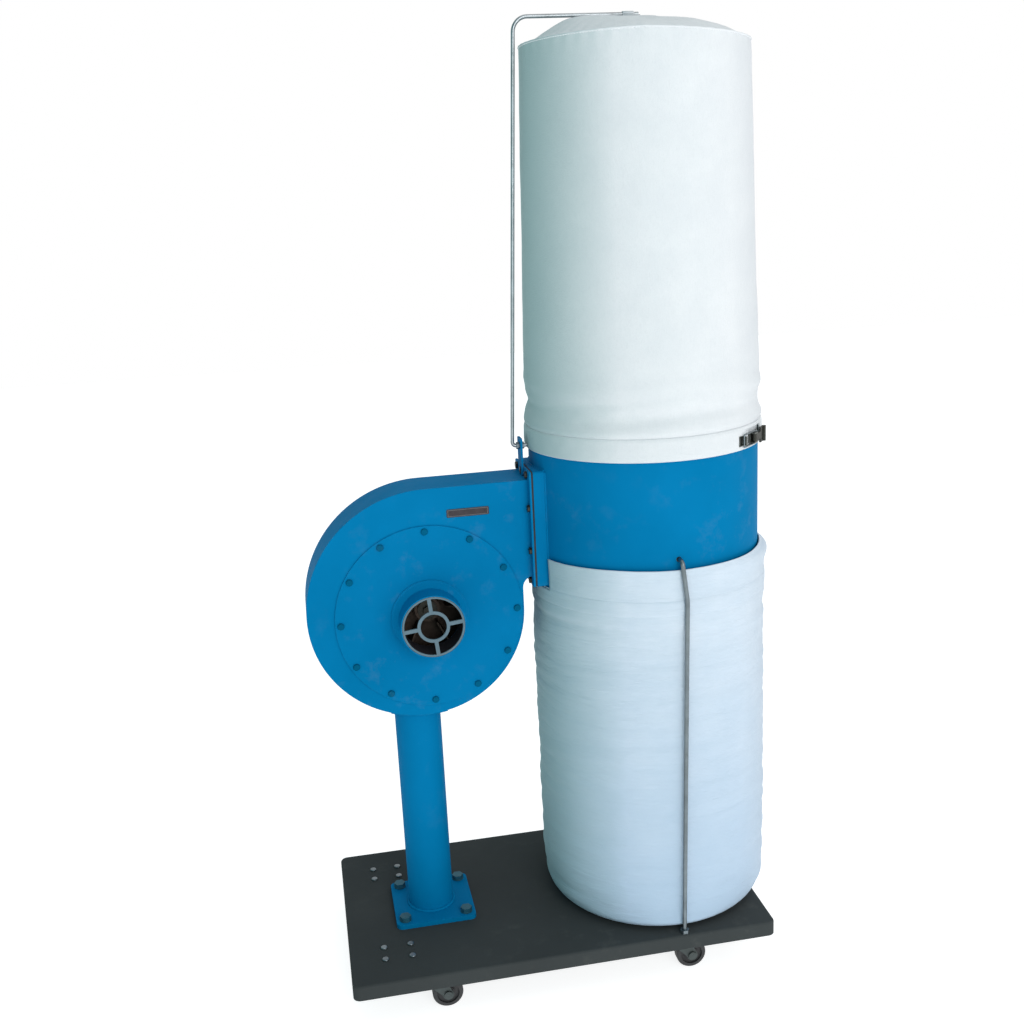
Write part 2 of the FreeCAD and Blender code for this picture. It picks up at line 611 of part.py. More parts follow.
def make_collar():
    low, high = V(collar_x, 0, collar_low), V(collar_x, 0, collar_high)
    drum = ring(collar_radius, collar_radius - collar_sheet, low, high)
    beads = [ring(collar_radius - collar_sheet, collar_radius - collar_sheet - 3, at, at + Z_AXIS * 4)
             for at in (low, high - Z_AXIS * 4)]
    drum = join([drum] + beads)
    y0, y1, z0, z1 = neck_sides(2)
    drum = drum.cut(box(-20, collar_x - 100, y0, y1, z0, z1))
    holes = [rod(support_rod_radius + 0.8, V(collar_x, side * 150, support_rod_top_z),
                 V(collar_x, side * 200, support_rod_top_z)) for side in (-1, 1)]
    add("collar_drum", drill(drum, holes))

    frame = flange_frame(neck_x, neck_x + flange_sheet)
    y2, y3, z2, z3 = neck_sides(0)
    walls = soften(box(neck_x + 1, collar_x - 100, y2, y3, z2, z3), 4, X_AXIS)
    walls = walls.cut(box(neck_x, collar_x, y0, y1, z0, z1))
    neck = frame.fuse(walls)
    add("collar_neck", neck.cut(rod(collar_radius, low, high)))
    add("outlet_gasket", flange_frame(gasket_x, neck_x, 1))

    bolts = []
    for y, z in flange_points():
        face = V(duct_end_x - flange_sheet, y, z)
        head = hexagon(m6_flats, face - X_AXIS * 4, face)
        bolts.append(head.fuse(rod(m6_shank, face, face + X_AXIS * 11)))
    add("flange_bolts", group(bolts))


# ------------------------------------------------------------------------------- bags
def shell_profile(outline):
    """A cloth wall's section: the outline, and back along it one cloth thickness inside."""
    inner = []
    for i, (r, z) in enumerate(outline):
        r0, z0 = outline[max(i - 1, 0)]
        r1, z1 = outline[min(i + 1, len(outline) - 1)]
        length = math.hypot(r1 - r0, z1 - z0)
        across = ((z1 - z0) / length * cloth, (r1 - r0) / length * cloth)
        inner.append((max(r - across[0], 0.0), z + across[1]))
    return outline + inner[::-1]


def make_filter_bag():
    snug = collar_radius + cloth + 0.4
    outline = [(snug, filter_hem_low), (snug, collar_high), (187, 925), (184.5, 945), (186, 972),
               (183.5, 1065), (180, 1180), (177, 1290), (174, 1385),
               (filter_rim_radius, filter_rim_z), (66, filter_top_z - 3), (0, filter_top_z)]
    section = shell_profile(outline)
    section[-len(outline)] = (0.0, filter_top_z - cloth)
    add("filter_bag", revolved(section, V(collar_x, 0, 0)))


def make_dust_bag():
    axis = V(dust_bag_x, 0, 0)
    floor_gap = 3.1  # the bag stands on the heads of the caster mount bolts
    foot_radius, foot_rise = 152.0, 42.0
    outline = [(0, base_top + floor_gap), (foot_radius, base_top + floor_gap),
               (foot_radius + 27, base_top + foot_rise * 0.3), (dust_bag_radius - 2, base_top + foot_rise),
               (dust_bag_radius, base_top + 130), (dust_bag_radius, 560),
               (dust_hem_radius, 620), (dust_hem_radius, dust_hem_high)]
    section = shell_profile(outline)
    section[-1] = (0.0, base_top + floor_gap + cloth)
    outer_cut, inner_cut = [], []
    for side in (-1, 1):
        for cuts, clearance in ((outer_cut, 4.5), (inner_cut, 4.5 + cloth)):
            cuts.append(rod(support_rod_radius + clearance, rod_foot(side) - Z_AXIS * 20,
                            rod_shoulder(side) + Z_AXIS * 40))
    half = len(outline)
    above = dust_hem_high + 20
    outer = revolved(outline + [(0, dust_hem_high)], axis)
    inner = revolved([(0, above), (section[half][0], above)] + section[half:], axis)
    bag = drill(outer, outer_cut).cut(drill(inner, inner_cut))
    y0, y1, z0, _ = neck_sides(-2)
    bag = bag.cut(box(-20, 60, y0, y1, z0, 800))
    add("dust_bag", bag)


# ------------------------------------------------------------------ bands and latches
def latch_band(radius, z, centre_x, angle, name):
    """An open hoop with a draw latch: ears and pin at one end, a catch lip at the other.

    The latch is built at the hoop's +X side, with u outwards and v along the hoop, and turned
    into place. The lever's thumb plate is wide, and clears the bail's legs when it is open.
    """
    pivot, link, thumb_half = (radius + 6.8, 9.0), (radius + 5.6, 19.0), 12.0
    outer = radius + band_thick
    axis = V(centre_x, 0, 0)
    half = band_height / 2

    def block(u0, u1, v0, v1, z0, z1):
        return box(centre_x + u0, centre_x + u1, v0, v1, z + z0, z + z1)

    def pin(place, size, z0, z1):
        at = V(centre_x + place[0], place[1], z)
        return rod(size, at + Z_AXIS * z0, at + Z_AXIS * z1)

    inside = rod(radius, axis + Z_AXIS * (z - 30), axis + Z_AXIS * (z + 30))
    hoop = ring(outer, radius, axis + Z_AXIS * (z - half), axis + Z_AXIS * (z + half))
    hoop = hoop.cut(block(radius - 20, radius + 20, -16, 1, -20, 20))
    ears = [block(radius - 4, radius + 3.3, 2, 26, -half, half)]
    ears += [block(radius + 2, radius + 9.8, 4, 14, s * 7 - 1, s * 7 + 1) for s in (-1, 1)]
    catch = [block(radius - 6, radius + 2.3, -32, -18, -half, half),
             block(radius, radius + 8.8, -22.6, -19.6, -7, 7)]
    fittings = [piece.cut(inside) for piece in ears + catch]
    band = join([hoop] + fittings + [pin(pivot, 1.5, -8, 8)])

    arm = ring(radius + 9.4, radius + 7.0, axis + Z_AXIS * (z - 5.7), axis + Z_AXIS * (z + 5.7))
    arm = arm.common(block(radius - 20, radius + 20, 9, 47, -10, 10))
    hub = pin(pivot, 3.3, -5.7, 5.7)
    thumb = ring(radius + 9.4, radius + 7.0, axis + Z_AXIS * (z - thumb_half),
                 axis + Z_AXIS * (z + thumb_half))
    thumb = thumb.common(block(radius - 20, radius + 20, 30, 47, -20, 20))
    tip_u = math.sqrt((radius + 8.4) ** 2 - 47 ** 2)
    curl = pin((tip_u + 1.8, 47), 3.2, -thumb_half, thumb_half)
    cheeks = [block(radius + 3.6, radius + 8.4, 15, 23, s * 4.85 - 0.85, s * 4.85 + 0.85) for s in (-1, 1)]
    lever = join([arm, thumb, hub, curl] + cheeks)
    lever = drill(lever, [pin(pivot, 1.5 + running_clearance, -10, 10),
                          pin(link, 1.2 + running_clearance, -10, 10)])

    wire, leg_z, far_v = 1.2, 9.5, -24.0
    start = V(centre_x + link[0], link[1], z)
    bail_points = [start + Z_AXIS * 4.1, start + Z_AXIS * leg_z]
    bail_points += [V(start.x, far_v, z + leg_z), V(start.x, far_v, z - leg_z)]
    bail_points += [start - Z_AXIS * leg_z, start - Z_AXIS * 4.1]
    bail = bent_rod(bail_points, wire, [2.4] * 4)
    for key, shape in ((f"{name}_band", band), (f"{name}_lever", lever), (f"{name}_bail", bail)):
        shape.rotate(axis, Z_AXIS, angle)
        add(key, shape)


# ------------------------------------------------------------------------------- rods
def rod_foot(side):
    return V(195, side * 187.5, base_top)


def rod_shoulder(side):
    return V(203, side * (collar_radius + support_rod_clear), 655)


def make_rods():
    nuts = []
    for side, name in ((-1, "front"), (1, "rear")):
        foot, shoulder = rod_foot(side), rod_shoulder(side)
        outward = side * (collar_radius + support_rod_clear)
        points = [V(collar_x, side * (collar_radius - 14), support_rod_top_z),
                  V(collar_x + 1, outward, support_rod_top_z), shoulder,
                  foot + (foot - shoulder).normalize() * support_rod_end]
        add(f"support_rod_{name}", bent_rod(points, support_rod_radius, [7, 40]))
        wall = V(collar_x, side * (collar_radius - collar_sheet - 0.5), support_rod_top_z)
        nuts.append(hexagon(m8_flats, wall, wall - Y_AXIS * (side * 6)))
        nuts += [hexagon(m8_flats, foot, foot + Z_AXIS * 6),
                 hexagon(m8_flats, foot - Z_AXIS * (base_sheet + 6), foot - Z_AXIS * base_sheet)]
    rods = NODES["support_rod_front"].fuse(NODES["support_rod_rear"])
    add("rod_nuts", group([nut.cut(rods) for nut in nuts]))

    bracket_x = duct_end_x - flange_sheet - 3
    top_row = blower_z + scroll_top + flange_lip / 2
    middle = (scroll_front + scroll_back) / 2
    plate = soften(box(bracket_x, bracket_x + 3, middle - 14, middle + 14, top_row - 7, 890), 4, X_AXIS)
    leg_start, leg_end = V(3, middle, hanger_foot_z), V(-20, middle, hanger_foot_z)
    bolt_hole = rod(6.5, V(bracket_x - 5, middle, top_row), V(bracket_x + 5, middle, top_row))
    rod_hole = rod(hanger_rod_radius + 0.2, leg_start, leg_end)
    add("hanger_bracket", drill(plate, [bolt_hole, rod_hole]))
    points = [leg_start, leg_end, V(12, middle / 2, hanger_z), V(collar_x + 8, 0, hanger_z)]
    add("hanger_rod", bent_rod(points, hanger_rod_radius, [6, 22]))
    nut_faces = [V(x, middle, hanger_foot_z) for x in (bracket_x - 4.8, bracket_x + 3)]
    hanger_nuts = [hexagon(m6_flats, face, face + X_AXIS * 4.8) for face in nut_faces]
    add("hanger_nuts", group([nut.cut(NODES["hanger_rod"]) for nut in hanger_nuts]))


def main():
    make_base()
    make_post()
    make_casters()
    make_casing()
    make_inlet()
    make_impeller()
    make_motor()
    make_collar()
    make_filter_bag()
    make_dust_bag()
    latch_band(collar_radius + cloth + 0.6, upper_band_z, collar_x, upper_latch_angle, "upper")
    latch_band(dust_hem_radius + 0.3, lower_band_z, dust_bag_x, lower_latch_angle, "lower")
    make_rods()
    os.makedirs("parts", exist_ok=True)
    for name, shape in NODES.items():
        shape.translate(-origin)
        shape.exportStep(f"parts/{name}.step")
        print(f"{name:22s} solids {len(shape.Solids)} valid {shape.isValid()} "
              f"volume {shape.Volume / 1000:.1f} cm3")
    print(f"{len(NODES)} nodes, origin moved by {origin.x:.2f}, {origin.y:.2f}")


main()
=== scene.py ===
"""Looks of the single-bag dust collector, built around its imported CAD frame.

Everything is in metres in the row frame: +X from the blower to the bags, +Y from the
hose spigot to the motor, +Z up.
"""
import json
import math

import bmesh
import bpy
import numpy as np
from mathutils import Matrix, Vector, noise


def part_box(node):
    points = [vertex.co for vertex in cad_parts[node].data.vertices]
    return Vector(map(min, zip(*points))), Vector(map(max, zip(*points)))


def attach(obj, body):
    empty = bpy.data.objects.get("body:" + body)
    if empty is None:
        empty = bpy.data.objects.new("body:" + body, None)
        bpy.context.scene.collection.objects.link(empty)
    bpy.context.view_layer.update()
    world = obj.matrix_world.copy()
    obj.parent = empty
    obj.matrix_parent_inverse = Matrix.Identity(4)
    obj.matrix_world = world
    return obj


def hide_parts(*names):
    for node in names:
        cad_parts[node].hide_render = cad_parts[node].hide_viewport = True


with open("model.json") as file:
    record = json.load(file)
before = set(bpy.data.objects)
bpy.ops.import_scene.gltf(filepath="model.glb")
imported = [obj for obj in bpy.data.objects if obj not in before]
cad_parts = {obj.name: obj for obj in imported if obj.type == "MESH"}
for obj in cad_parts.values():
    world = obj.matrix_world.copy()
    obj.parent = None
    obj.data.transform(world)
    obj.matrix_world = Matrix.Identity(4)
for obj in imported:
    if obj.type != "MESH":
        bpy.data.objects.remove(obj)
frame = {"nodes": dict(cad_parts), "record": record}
nodes = frame["nodes"]
scene = bpy.context.scene
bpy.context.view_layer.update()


# ------------------------------------------------------------------ places from the frame
def middle(name):
    low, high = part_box(name)
    return (low + high) / 2


drum_low, drum_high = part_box("collar_drum")
drum_axis = Vector((middle("collar_drum").x, middle("collar_drum").y))
drum_radius = (drum_high.x - drum_low.x) / 2
filter_low, filter_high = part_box("filter_bag")
dust_axis = Vector((middle("dust_bag").x, drum_axis.y))
rod_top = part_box("hanger_rod")[1].z
HANGER_RADIUS, ROD_RADIUS = 0.003, 0.0035
neck_low, neck_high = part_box("collar_neck")
tray_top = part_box("base_tray")[1].z


# ------------------------------------------------------------------------------ materials
class Nodes:
    """Nodes made step by step in an emptied node tree."""

    def __init__(self, tree):
        self.tree = tree
        self.tree.nodes.clear()

    def node(self, kind, inputs=None, **settings):
        made = self.tree.nodes.new(kind)
        for key, value in settings.items():
            setattr(made, key, value)
        for key, value in (inputs or {}).items():
            if isinstance(value, bpy.types.NodeSocket):
                self.tree.links.new(value, made.inputs[key])
            else:
                made.inputs[key].default_value = value
        return made

    def ramp(self, value, low, high, to_low=0.0, to_high=1.0, **settings):
        return self.node("ShaderNodeMapRange", {
            "Value": value, "From Min": low, "From Max": high, "To Min": to_low,
            "To Max": to_high}, **settings).outputs["Result"]

    def math(self, operation, a, b=0.0):
        return self.node("ShaderNodeMath", {0: a, 1: b}, operation=operation).outputs[0]

    def vector(self, operation, a, b, output="Vector"):
        return self.node("ShaderNodeVectorMath", {0: a, 1: b}, operation=operation).outputs[output]

    def mix(self, share, a, b):
        """A colour between a and b."""
        made = self.node("ShaderNodeMix", data_type="RGBA")
        for index, value in ((0, share), (6, a), (7, b)):
            if isinstance(value, bpy.types.NodeSocket):
                self.tree.links.new(value, made.inputs[index])
            elif index == 0:
                made.inputs[index].default_value = value
            else:
                made.inputs[index].default_value = (*value, 1.0)
        return made.outputs[2]


class Shader(Nodes):
    """A node material around one Principled shader."""

    def __init__(self, name, **sockets):
        self.material = bpy.data.materials.new(name)
        self.material.use_nodes = True
        super().__init__(self.material.node_tree)
        self.bsdf = self.node("ShaderNodeBsdfPrincipled")
        self.node("ShaderNodeOutputMaterial", {0: self.bsdf.outputs[0]})
        for key, value in sockets.items():
            self.bsdf.inputs[key.replace("_", " ")].default_value = value
        self.place = self.node("ShaderNodeTexCoord").outputs["Object"]

    def use_cloth_map(self):
        """Take places from the piece's own cloth map: metres across and along the cloth."""
        self.place = self.node("ShaderNodeUVMap", uv_map="cloth").outputs[0]

    def stretched(self, x, y, z):
        """Places scaled unevenly, for grain and streaks."""
        return self.vector("MULTIPLY", self.place, (x, y, z))

    def noise(self, scale, detail=3.0, rough=0.5, place=None, distort=0.0):
        return self.node("ShaderNodeTexNoise", {
            "Vector": place or self.place, "Scale": scale, "Detail": detail,
            "Roughness": rough, "Distortion": distort}).outputs["Fac"]

    def facing(self, direction, low, high):
        """Zero to one as the surface turns towards a fixed direction."""
        normal = self.node("ShaderNodeNewGeometry").outputs["Normal"]
        return self.ramp(self.vector("DOT_PRODUCT", normal, direction, "Value"), low, high)

    def near_axis(self, x, z, radius):
        """One inside a cylinder along Y, and nothing outside it."""
        split = self.node("ShaderNodeSeparateXYZ", {0: self.place})
        across = self.math("POWER", self.math("SUBTRACT", split.outputs[0], x), 2.0)
        up = self.math("POWER", self.math("SUBTRACT", split.outputs[2], z), 2.0)
        return self.ramp(self.math("SQRT", self.math("ADD", across, up)), radius, radius - 0.0004)

    def edges(self, radius):
        """One along sharp edges and nothing on flats."""
        smooth = self.node("ShaderNodeBevel", {"Radius": radius}, samples=4).outputs[0]
        true = self.node("ShaderNodeNewGeometry").outputs["Normal"]
        return self.ramp(self.vector("DOT_PRODUCT", smooth, true, "Value"), 0.985, 0.90)

    def set(self, socket, value):
        self.tree.links.new(value, self.bsdf.inputs[socket])

    def relief(self, layers, bevel=0.0):
        """Bumps from (height, depth in metres) layers, over softened edges if bevel is given."""
        normal = self.node("ShaderNodeBevel", {"Radius": bevel}, samples=4).outputs[0] if bevel else None
        for height, depth in layers:
            inputs = {"Height": height, "Distance": depth, "Strength": 1.0}
            if normal is not None:
                inputs["Normal"] = normal
            normal = self.node("ShaderNodeBump", inputs).outputs[0]
        self.set("Normal", normal)


def paint(name, color, roughness, peel, worn, wear=0.5, sheet_wave=0.0004, shine=0.012, painted_shade_bore=None):
    """Sprayed or powder-coated metal: shade drift, orange peel, sheet waves, rubbed edges and painted shade
    down a bore.
    """
    s = Shader(name, Metallic=0.0, Specular_IOR_Level=shine, Coat_Weight=0.0)
    drift = s.noise(4.0, 4.0, 0.6)
    grain = s.noise(900.0, 2.0)
    dark = tuple(c * 0.9 for c in color)
    light = tuple(min(c * 1.07 + 0.001, 1.0) for c in color)
    base = s.mix(s.ramp(drift, 0.3, 0.7), dark, light)
    dust = s.math("MULTIPLY", s.ramp(s.noise(26.0, 6.0, 0.65), 0.55, 0.8, 0.0, 0.07),
                  s.ramp(s.noise(3.0, 2.0), 0.4, 0.62))
    base = s.mix(dust, base, (0.42, 0.40, 0.36))
    # Painted shade: the inside of the bore turns near black-brown, standing in for the shade down it.
    if painted_shade_bore:
        base = s.mix(s.math("MULTIPLY", s.near_axis(*painted_shade_bore), 0.94), base, (0.035, 0.024, 0.018))
    rubbed = s.math("MULTIPLY", s.edges(0.0016), s.ramp(s.noise(60.0, 5.0, 0.7), 0.5 - 0.1 * wear, 0.62))
    s.set("Base Color", s.mix(s.math("MULTIPLY", rubbed, wear), base, worn))
    rough = s.ramp(s.noise(14.0, 5.0, 0.6), 0.3, 0.75, roughness - 0.05, roughness + 0.09)
    s.set("Roughness", s.math("ADD", rough, s.math("MULTIPLY", dust, 0.6)))
    s.relief([(s.noise(7.0, 2.0), sheet_wave), (grain, peel)], bevel=0.0009)
    return s.material


def plated(name, color, roughness, streak=None, metallic=1.0, tint=(0.75, 0.7, 0.55)):
    """Zinc, oxide or brushed metal: cloudy plating, fine scratches and dull handling marks."""
    s = Shader(name, Metallic=metallic)
    place = s.stretched(*streak) if streak else s.place
    lines = s.noise(420.0, 4.0, 0.7, place)
    cloud = s.noise(38.0, 4.0, 0.6)
    light = tuple(min(c * 1.15, 1.0) for c in color)
    base = s.mix(s.ramp(cloud, 0.35, 0.68), tuple(c * 0.78 for c in color), light)
    tinted = tuple(a * b for a, b in zip(color, tint))
    base = s.mix(s.ramp(s.noise(11.0, 3.0), 0.5, 0.8, 0.0, 0.22), base, tinted)
    s.set("Base Color", base)
    s.set("Roughness", s.ramp(s.math("ADD", s.math("MULTIPLY", lines, 0.5), s.math("MULTIPLY", cloud, 0.5)),
                              0.35, 0.65, roughness - 0.07, roughness + 0.12))
    s.relief([(lines, 0.00002), (s.noise(160.0, 2.0), 0.00003)], bevel=0.0004)
    return s.material


def plastic(name, color, roughness, texture=0.00003, coat=0.0):
    """Moulded plastic or rubber: spark-eroded grain, faint flow marks and dust in the grain."""
    s = Shader(name, Metallic=0.0, Coat_Weight=coat, Coat_Roughness=0.1)
    grain = s.noise(1400.0, 2.0)
    flow = s.noise(22.0, 4.0, 0.6, distort=1.2)
    light = tuple(min(c * 1.25 + 0.008, 1.0) for c in color)
    base = s.mix(s.ramp(flow, 0.3, 0.7), color, light)
    base = s.mix(s.ramp(s.noise(75.0, 6.0, 0.7), 0.58, 0.85, 0.0, 0.14), base, (0.33, 0.31, 0.28))
    s.set("Base Color", base)
    s.set("Roughness", s.ramp(s.noise(55.0, 4.0), 0.3, 0.7, roughness - 0.06, roughness + 0.08))
    s.relief([(grain, texture)], bevel=0.0005)
    return s.material


def cast_alloy(name, color, roughness):
    """Cast metal: fine pits with dirt in them, and cloudy tone."""
    s = Shader(name, Metallic=1.0)
    pits = s.noise(520.0, 5.0, 0.65)
    base = s.mix(s.ramp(s.noise(30.0, 4.0), 0.35, 0.7), tuple(c * 0.72 for c in color), color)
    s.set("Base Color", s.mix(s.ramp(pits, 0.6, 0.8, 0.0, 0.35), base, (0.12, 0.115, 0.11)))
    s.set("Roughness", s.ramp(s.noise(90.0, 4.0), 0.3, 0.7, roughness - 0.08, roughness + 0.12))
    s.relief([(pits, 0.00012)], bevel=0.0006)
    return s.material


BLOWER_SIDE = (-0.982, 0.191, 0.0)
FAR_SIDE = (0.96, -0.28, 0.0)
# Painted shade colours on the cloth: teal-grey towards the blower, grey on the far side.
BLOWER_SIDE_PAINTED_SHADE = (0.25, 0.41, 0.41)
FAR_SIDE_PAINTED_SHADE = (0.43, 0.48, 0.53)
# Painted shade colour: the lower bag turns towards this bluish grey near its bottom.
LOW_PAINTED_SHADE = (0.39, 0.53, 0.69)


def painted_side_shade(s, base):
    """Set the cloth's colour with painted shade: teal-grey towards the blower and a little grey on the far
    side.
    """
    base = s.mix(s.facing(FAR_SIDE, 0.75, 1.6), base, FAR_SIDE_PAINTED_SHADE)
    s.set("Base Color", s.mix(s.facing(BLOWER_SIDE, 0.25, 1.1), base, BLOWER_SIDE_PAINTED_SHADE))


def felt(name, color, shade):
    """Needle-punched felt: matted fibres, needling pits, faint mottling, and painted shade towards the blower
    and on the far side.
    """
    s = Shader(name, Metallic=0.0, Roughness=0.95, Sheen_Weight=0.12, Sheen_Roughness=0.45,
               Specular_IOR_Level=0.15)
    s.use_cloth_map()
    fibres = s.noise(900.0, 6.0, 0.75, distort=0.6)
    wisps = s.noise(260.0, 4.0, 0.7, s.stretched(1.0, 0.35, 1.0), distort=1.5)
    mottle = s.noise(16.0, 5.0, 0.6)
    needling = s.node("ShaderNodeTexVoronoi", {"Vector": s.place, "Scale": 620.0}).outputs["Distance"]
    base = s.mix(s.ramp(mottle, 0.3, 0.7), shade, color)
    base = s.mix(s.ramp(wisps, 0.45, 0.75, 0.0, 0.35), base, tuple(c * 0.9 for c in shade))
    base = s.mix(s.ramp(needling, 0.0, 0.35, 0.22, 0.0), base, tuple(c * 0.7 for c in shade))
    painted_side_shade(s, base)
    s.relief([(mottle, 0.0009), (wisps, 0.00035), (fibres, 0.0003), (needling, 0.00012)])
    return s.material


def woven(name, color, shade, pitch=0.0011):
    """Plain-weave cloth: warp and weft threads over and under, slubs, soft creasing, and painted shade low
    down and at the sides.
    """
    s = Shader(name, Metallic=0.0, Roughness=0.85, Sheen_Weight=0.1, Sheen_Roughness=0.4,
               Specular_IOR_Level=0.2)
    s.use_cloth_map()
    split = s.node("ShaderNodeSeparateXYZ", {0: s.place})
    wobble = s.ramp(s.noise(60.0, 3.0), 0.0, 1.0, -0.6, 0.6)
    turn = math.tau / (2 * pitch)
    across = s.math("SINE", s.math("ADD", s.math("MULTIPLY", split.outputs[0], turn), wobble))
    along = s.math("SINE", s.math("ADD", s.math("MULTIPLY", split.outputs[1], turn), wobble))
    over = s.math("MULTIPLY", across, along)
    threads = s.math("MAXIMUM", s.math("ABSOLUTE", across), s.math("ABSOLUTE", along))
    height = s.math("ADD", s.math("MULTIPLY", over, 0.5), s.math("MULTIPLY", threads, 0.5))
    slub = s.noise(420.0, 3.0, 0.6, s.stretched(0.06, 1.0, 1.0))
    mottle = s.noise(14.0, 5.0, 0.6)
    crease = s.noise(44.0, 4.0, 0.6, s.stretched(0.16, 1.0, 1.0), distort=0.5)
    fine_crease = s.noise(110.0, 3.0, 0.6, s.stretched(0.24, 1.0, 1.0), distort=0.8)
    base = s.mix(s.ramp(mottle, 0.3, 0.7), shade, color)
    base = s.mix(s.ramp(slub, 0.5, 0.8, 0.0, 0.3), base, tuple(c * 0.92 for c in shade))
    base = s.mix(s.ramp(height, -0.3, 0.9, 0.25, 0.0), base, tuple(c * 0.72 for c in shade))
    # Painted shade: the cloth darkens towards bluish grey from 0.62 m down to the bottom.
    position = s.node("ShaderNodeNewGeometry").outputs["Position"]
    above = s.node("ShaderNodeSeparateXYZ", {0: position}).outputs[2]
    base = s.mix(s.ramp(above, 0.62, 0.1, 0.0, 0.75), base, LOW_PAINTED_SHADE)
    painted_side_shade(s, base)
    s.relief([(crease, 0.0026), (fine_crease, 0.0011), (slub, 0.00018), (height, 0.00022)])
    return s.material


def foil_plate(name):
    """Blank printed plate: a dark field with a thin bright border and faint scuffs."""
    s = Shader(name, Metallic=0.0, Coat_Weight=0.08, Coat_Roughness=0.2, Specular_IOR_Level=0.2)
    low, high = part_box("name_plate")
    centre, half = (low + high) / 2, (high - low) / 2
    split = s.node("ShaderNodeSeparateXYZ", {0: s.vector("SUBTRACT", s.place, tuple(centre))})
    side = s.math("SUBTRACT", half.x - 0.0022, s.math("ABSOLUTE", split.outputs[0]))
    end = s.math("SUBTRACT", half.z - 0.0016, s.math("ABSOLUTE", split.outputs[2]))
    inside = s.math("MINIMUM", side, end)
    line = s.ramp(s.math("ABSOLUTE", inside), 0.00035, 0.0005, 1.0, 0.0)
    field = s.mix(s.ramp(s.noise(70.0, 5.0), 0.3, 0.75), (0.03, 0.024, 0.028), (0.055, 0.042, 0.048))
    s.set("Base Color", s.mix(s.math("MULTIPLY", line, 0.5), field, (0.22, 0.23, 0.24)))
    s.set("Roughness", s.ramp(s.noise(120.0, 5.0, 0.7), 0.3, 0.7, 0.28, 0.46))
    s.relief([(s.noise(500.0, 2.0), 0.00002)], bevel=0.0004)
    return s.material


def winding(name):
    """Varnished copper wire in close turns."""
    s = Shader(name, Metallic=0.6)
    wires = s.node("ShaderNodeTexWave", {"Vector": s.place, "Scale": 320.0, "Distortion": 0.6},
                   wave_type="BANDS", bands_direction="Y").outputs["Fac"]
    s.set("Base Color", s.mix(s.ramp(wires, 0.2, 0.8), (0.1, 0.035, 0.012), (0.5, 0.2, 0.07)))
    s.set("Roughness", s.ramp(s.noise(80.0), 0.3, 0.7, 0.3, 0.5))
    s.relief([(wires, 0.0004)])
    return s.material


BLUE = (0.0, 0.172, 0.385)
spigot = middle("inlet_spigot")
spigot_bore = (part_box("inlet_guard")[1].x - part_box("inlet_guard")[0].x) / 2 + 0.0008
SLOT_LOOKS = {
    "blue_paint": paint("blue_powder_coat", BLUE, 0.55, 0.00003, (0.03, 0.27, 0.5), 0.4,
                        painted_shade_bore=(spigot.x, spigot.z, spigot_bore)),
    "base_paint": paint("charcoal_texture_coat", (0.05, 0.056, 0.057), 0.55, 0.00012,
                        (0.16, 0.165, 0.17), 0.6),
    "motor_paint": paint("black_enamel", (0.02, 0.021, 0.023), 0.4, 0.00009, (0.18, 0.18, 0.18), 0.5, 0.0002),
    # Painted shade: this cast aluminium, on the impeller, is darkened to near black-brown to stand in for the
    # shade inside the scroll.
    "bare_aluminium": cast_alloy("shade_darkened_cast_aluminium", (0.11, 0.085, 0.07), 0.6),
    "zinc": plated("zinc_plate", (0.2, 0.235, 0.255), 0.34),
    "dark_steel": plated("oxide_steel", (0.045, 0.046, 0.04), 0.42, metallic=0.85, tint=(1.2, 0.9, 0.7)),
    "band_steel": plated("spring_steel", (0.13, 0.135, 0.125), 0.32, streak=(1.0, 1.0, 12.0)),
    "gasket_rubber": plastic("gasket_rubber", (0.02, 0.02, 0.02), 0.8, 0.0001),
    "wheel_rubber": plastic("wheel_rubber", (0.022, 0.022, 0.024), 0.62, 0.00008),
    "black_plastic": plastic("black_moulding", (0.018, 0.018, 0.02), 0.45),
    "plate_foil": foil_plate("blank_plate"),
    "green_plastic": plastic("green_button", (0.01, 0.24, 0.06), 0.3, 0.00001, 0.3),
    "red_plastic": plastic("red_button", (0.42, 0.012, 0.012), 0.3, 0.00001, 0.3),
    "copper": winding("varnished_winding"),
    "filter_felt": felt("filter_felt", (0.735, 0.755, 0.775), (0.69, 0.715, 0.74)),
    "bag_cloth": woven("bag_cloth", (0.65, 0.73, 0.82), (0.575, 0.67, 0.77)),
}
NODE_LOOKS = {
    "cover_screws": paint("painted_screws", (0.0, 0.1, 0.2), 0.5, 0.00003, (0.03, 0.2, 0.34), 0.3),
    "inlet_guard": plastic("faded_moulding", (0.075, 0.13, 0.165), 0.55),
    # Painted shade: the impeller's bolt takes the dark oxide look for the shade inside the scroll.
    "impeller_bolt": SLOT_LOOKS["dark_steel"],
    "post_bolts": plated("blued_bolts", (0.02, 0.12, 0.17), 0.5, metallic=0.5),
    "hanger_bracket": SLOT_LOOKS["blue_paint"],
    "hanger_rod": plated("bright_zinc", (0.4, 0.43, 0.45), 0.36),
}
DULL_ZINC = plated("dull_zinc", (0.09, 0.105, 0.105), 0.5)
for corner in ("front_left", "front_right", "rear_left", "rear_right"):
    NODE_LOOKS[f"fork_{corner}"] = DULL_ZINC
for part in frame["record"]["subparts"]:
    node = nodes[part["node"]]
    node.data.materials.clear()
    node.data.materials.append(NODE_LOOKS.get(part["node"], SLOT_LOOKS[part["material_slot"]]))


# ------------------------------------------------------------------------- mesh helpers
def piece(name, mesh, body, slot, look=None, smooth=True):
    """Put a finished mesh in the scene as a piece that rides on a body."""
    made = bpy.data.objects.new(name, mesh)
    scene.collection.objects.link(made)
    mesh.materials.append(look or SLOT_LOOKS[slot])
    for face in mesh.polygons:
        face.use_smooth = smooth
    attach(made, body)
    return made


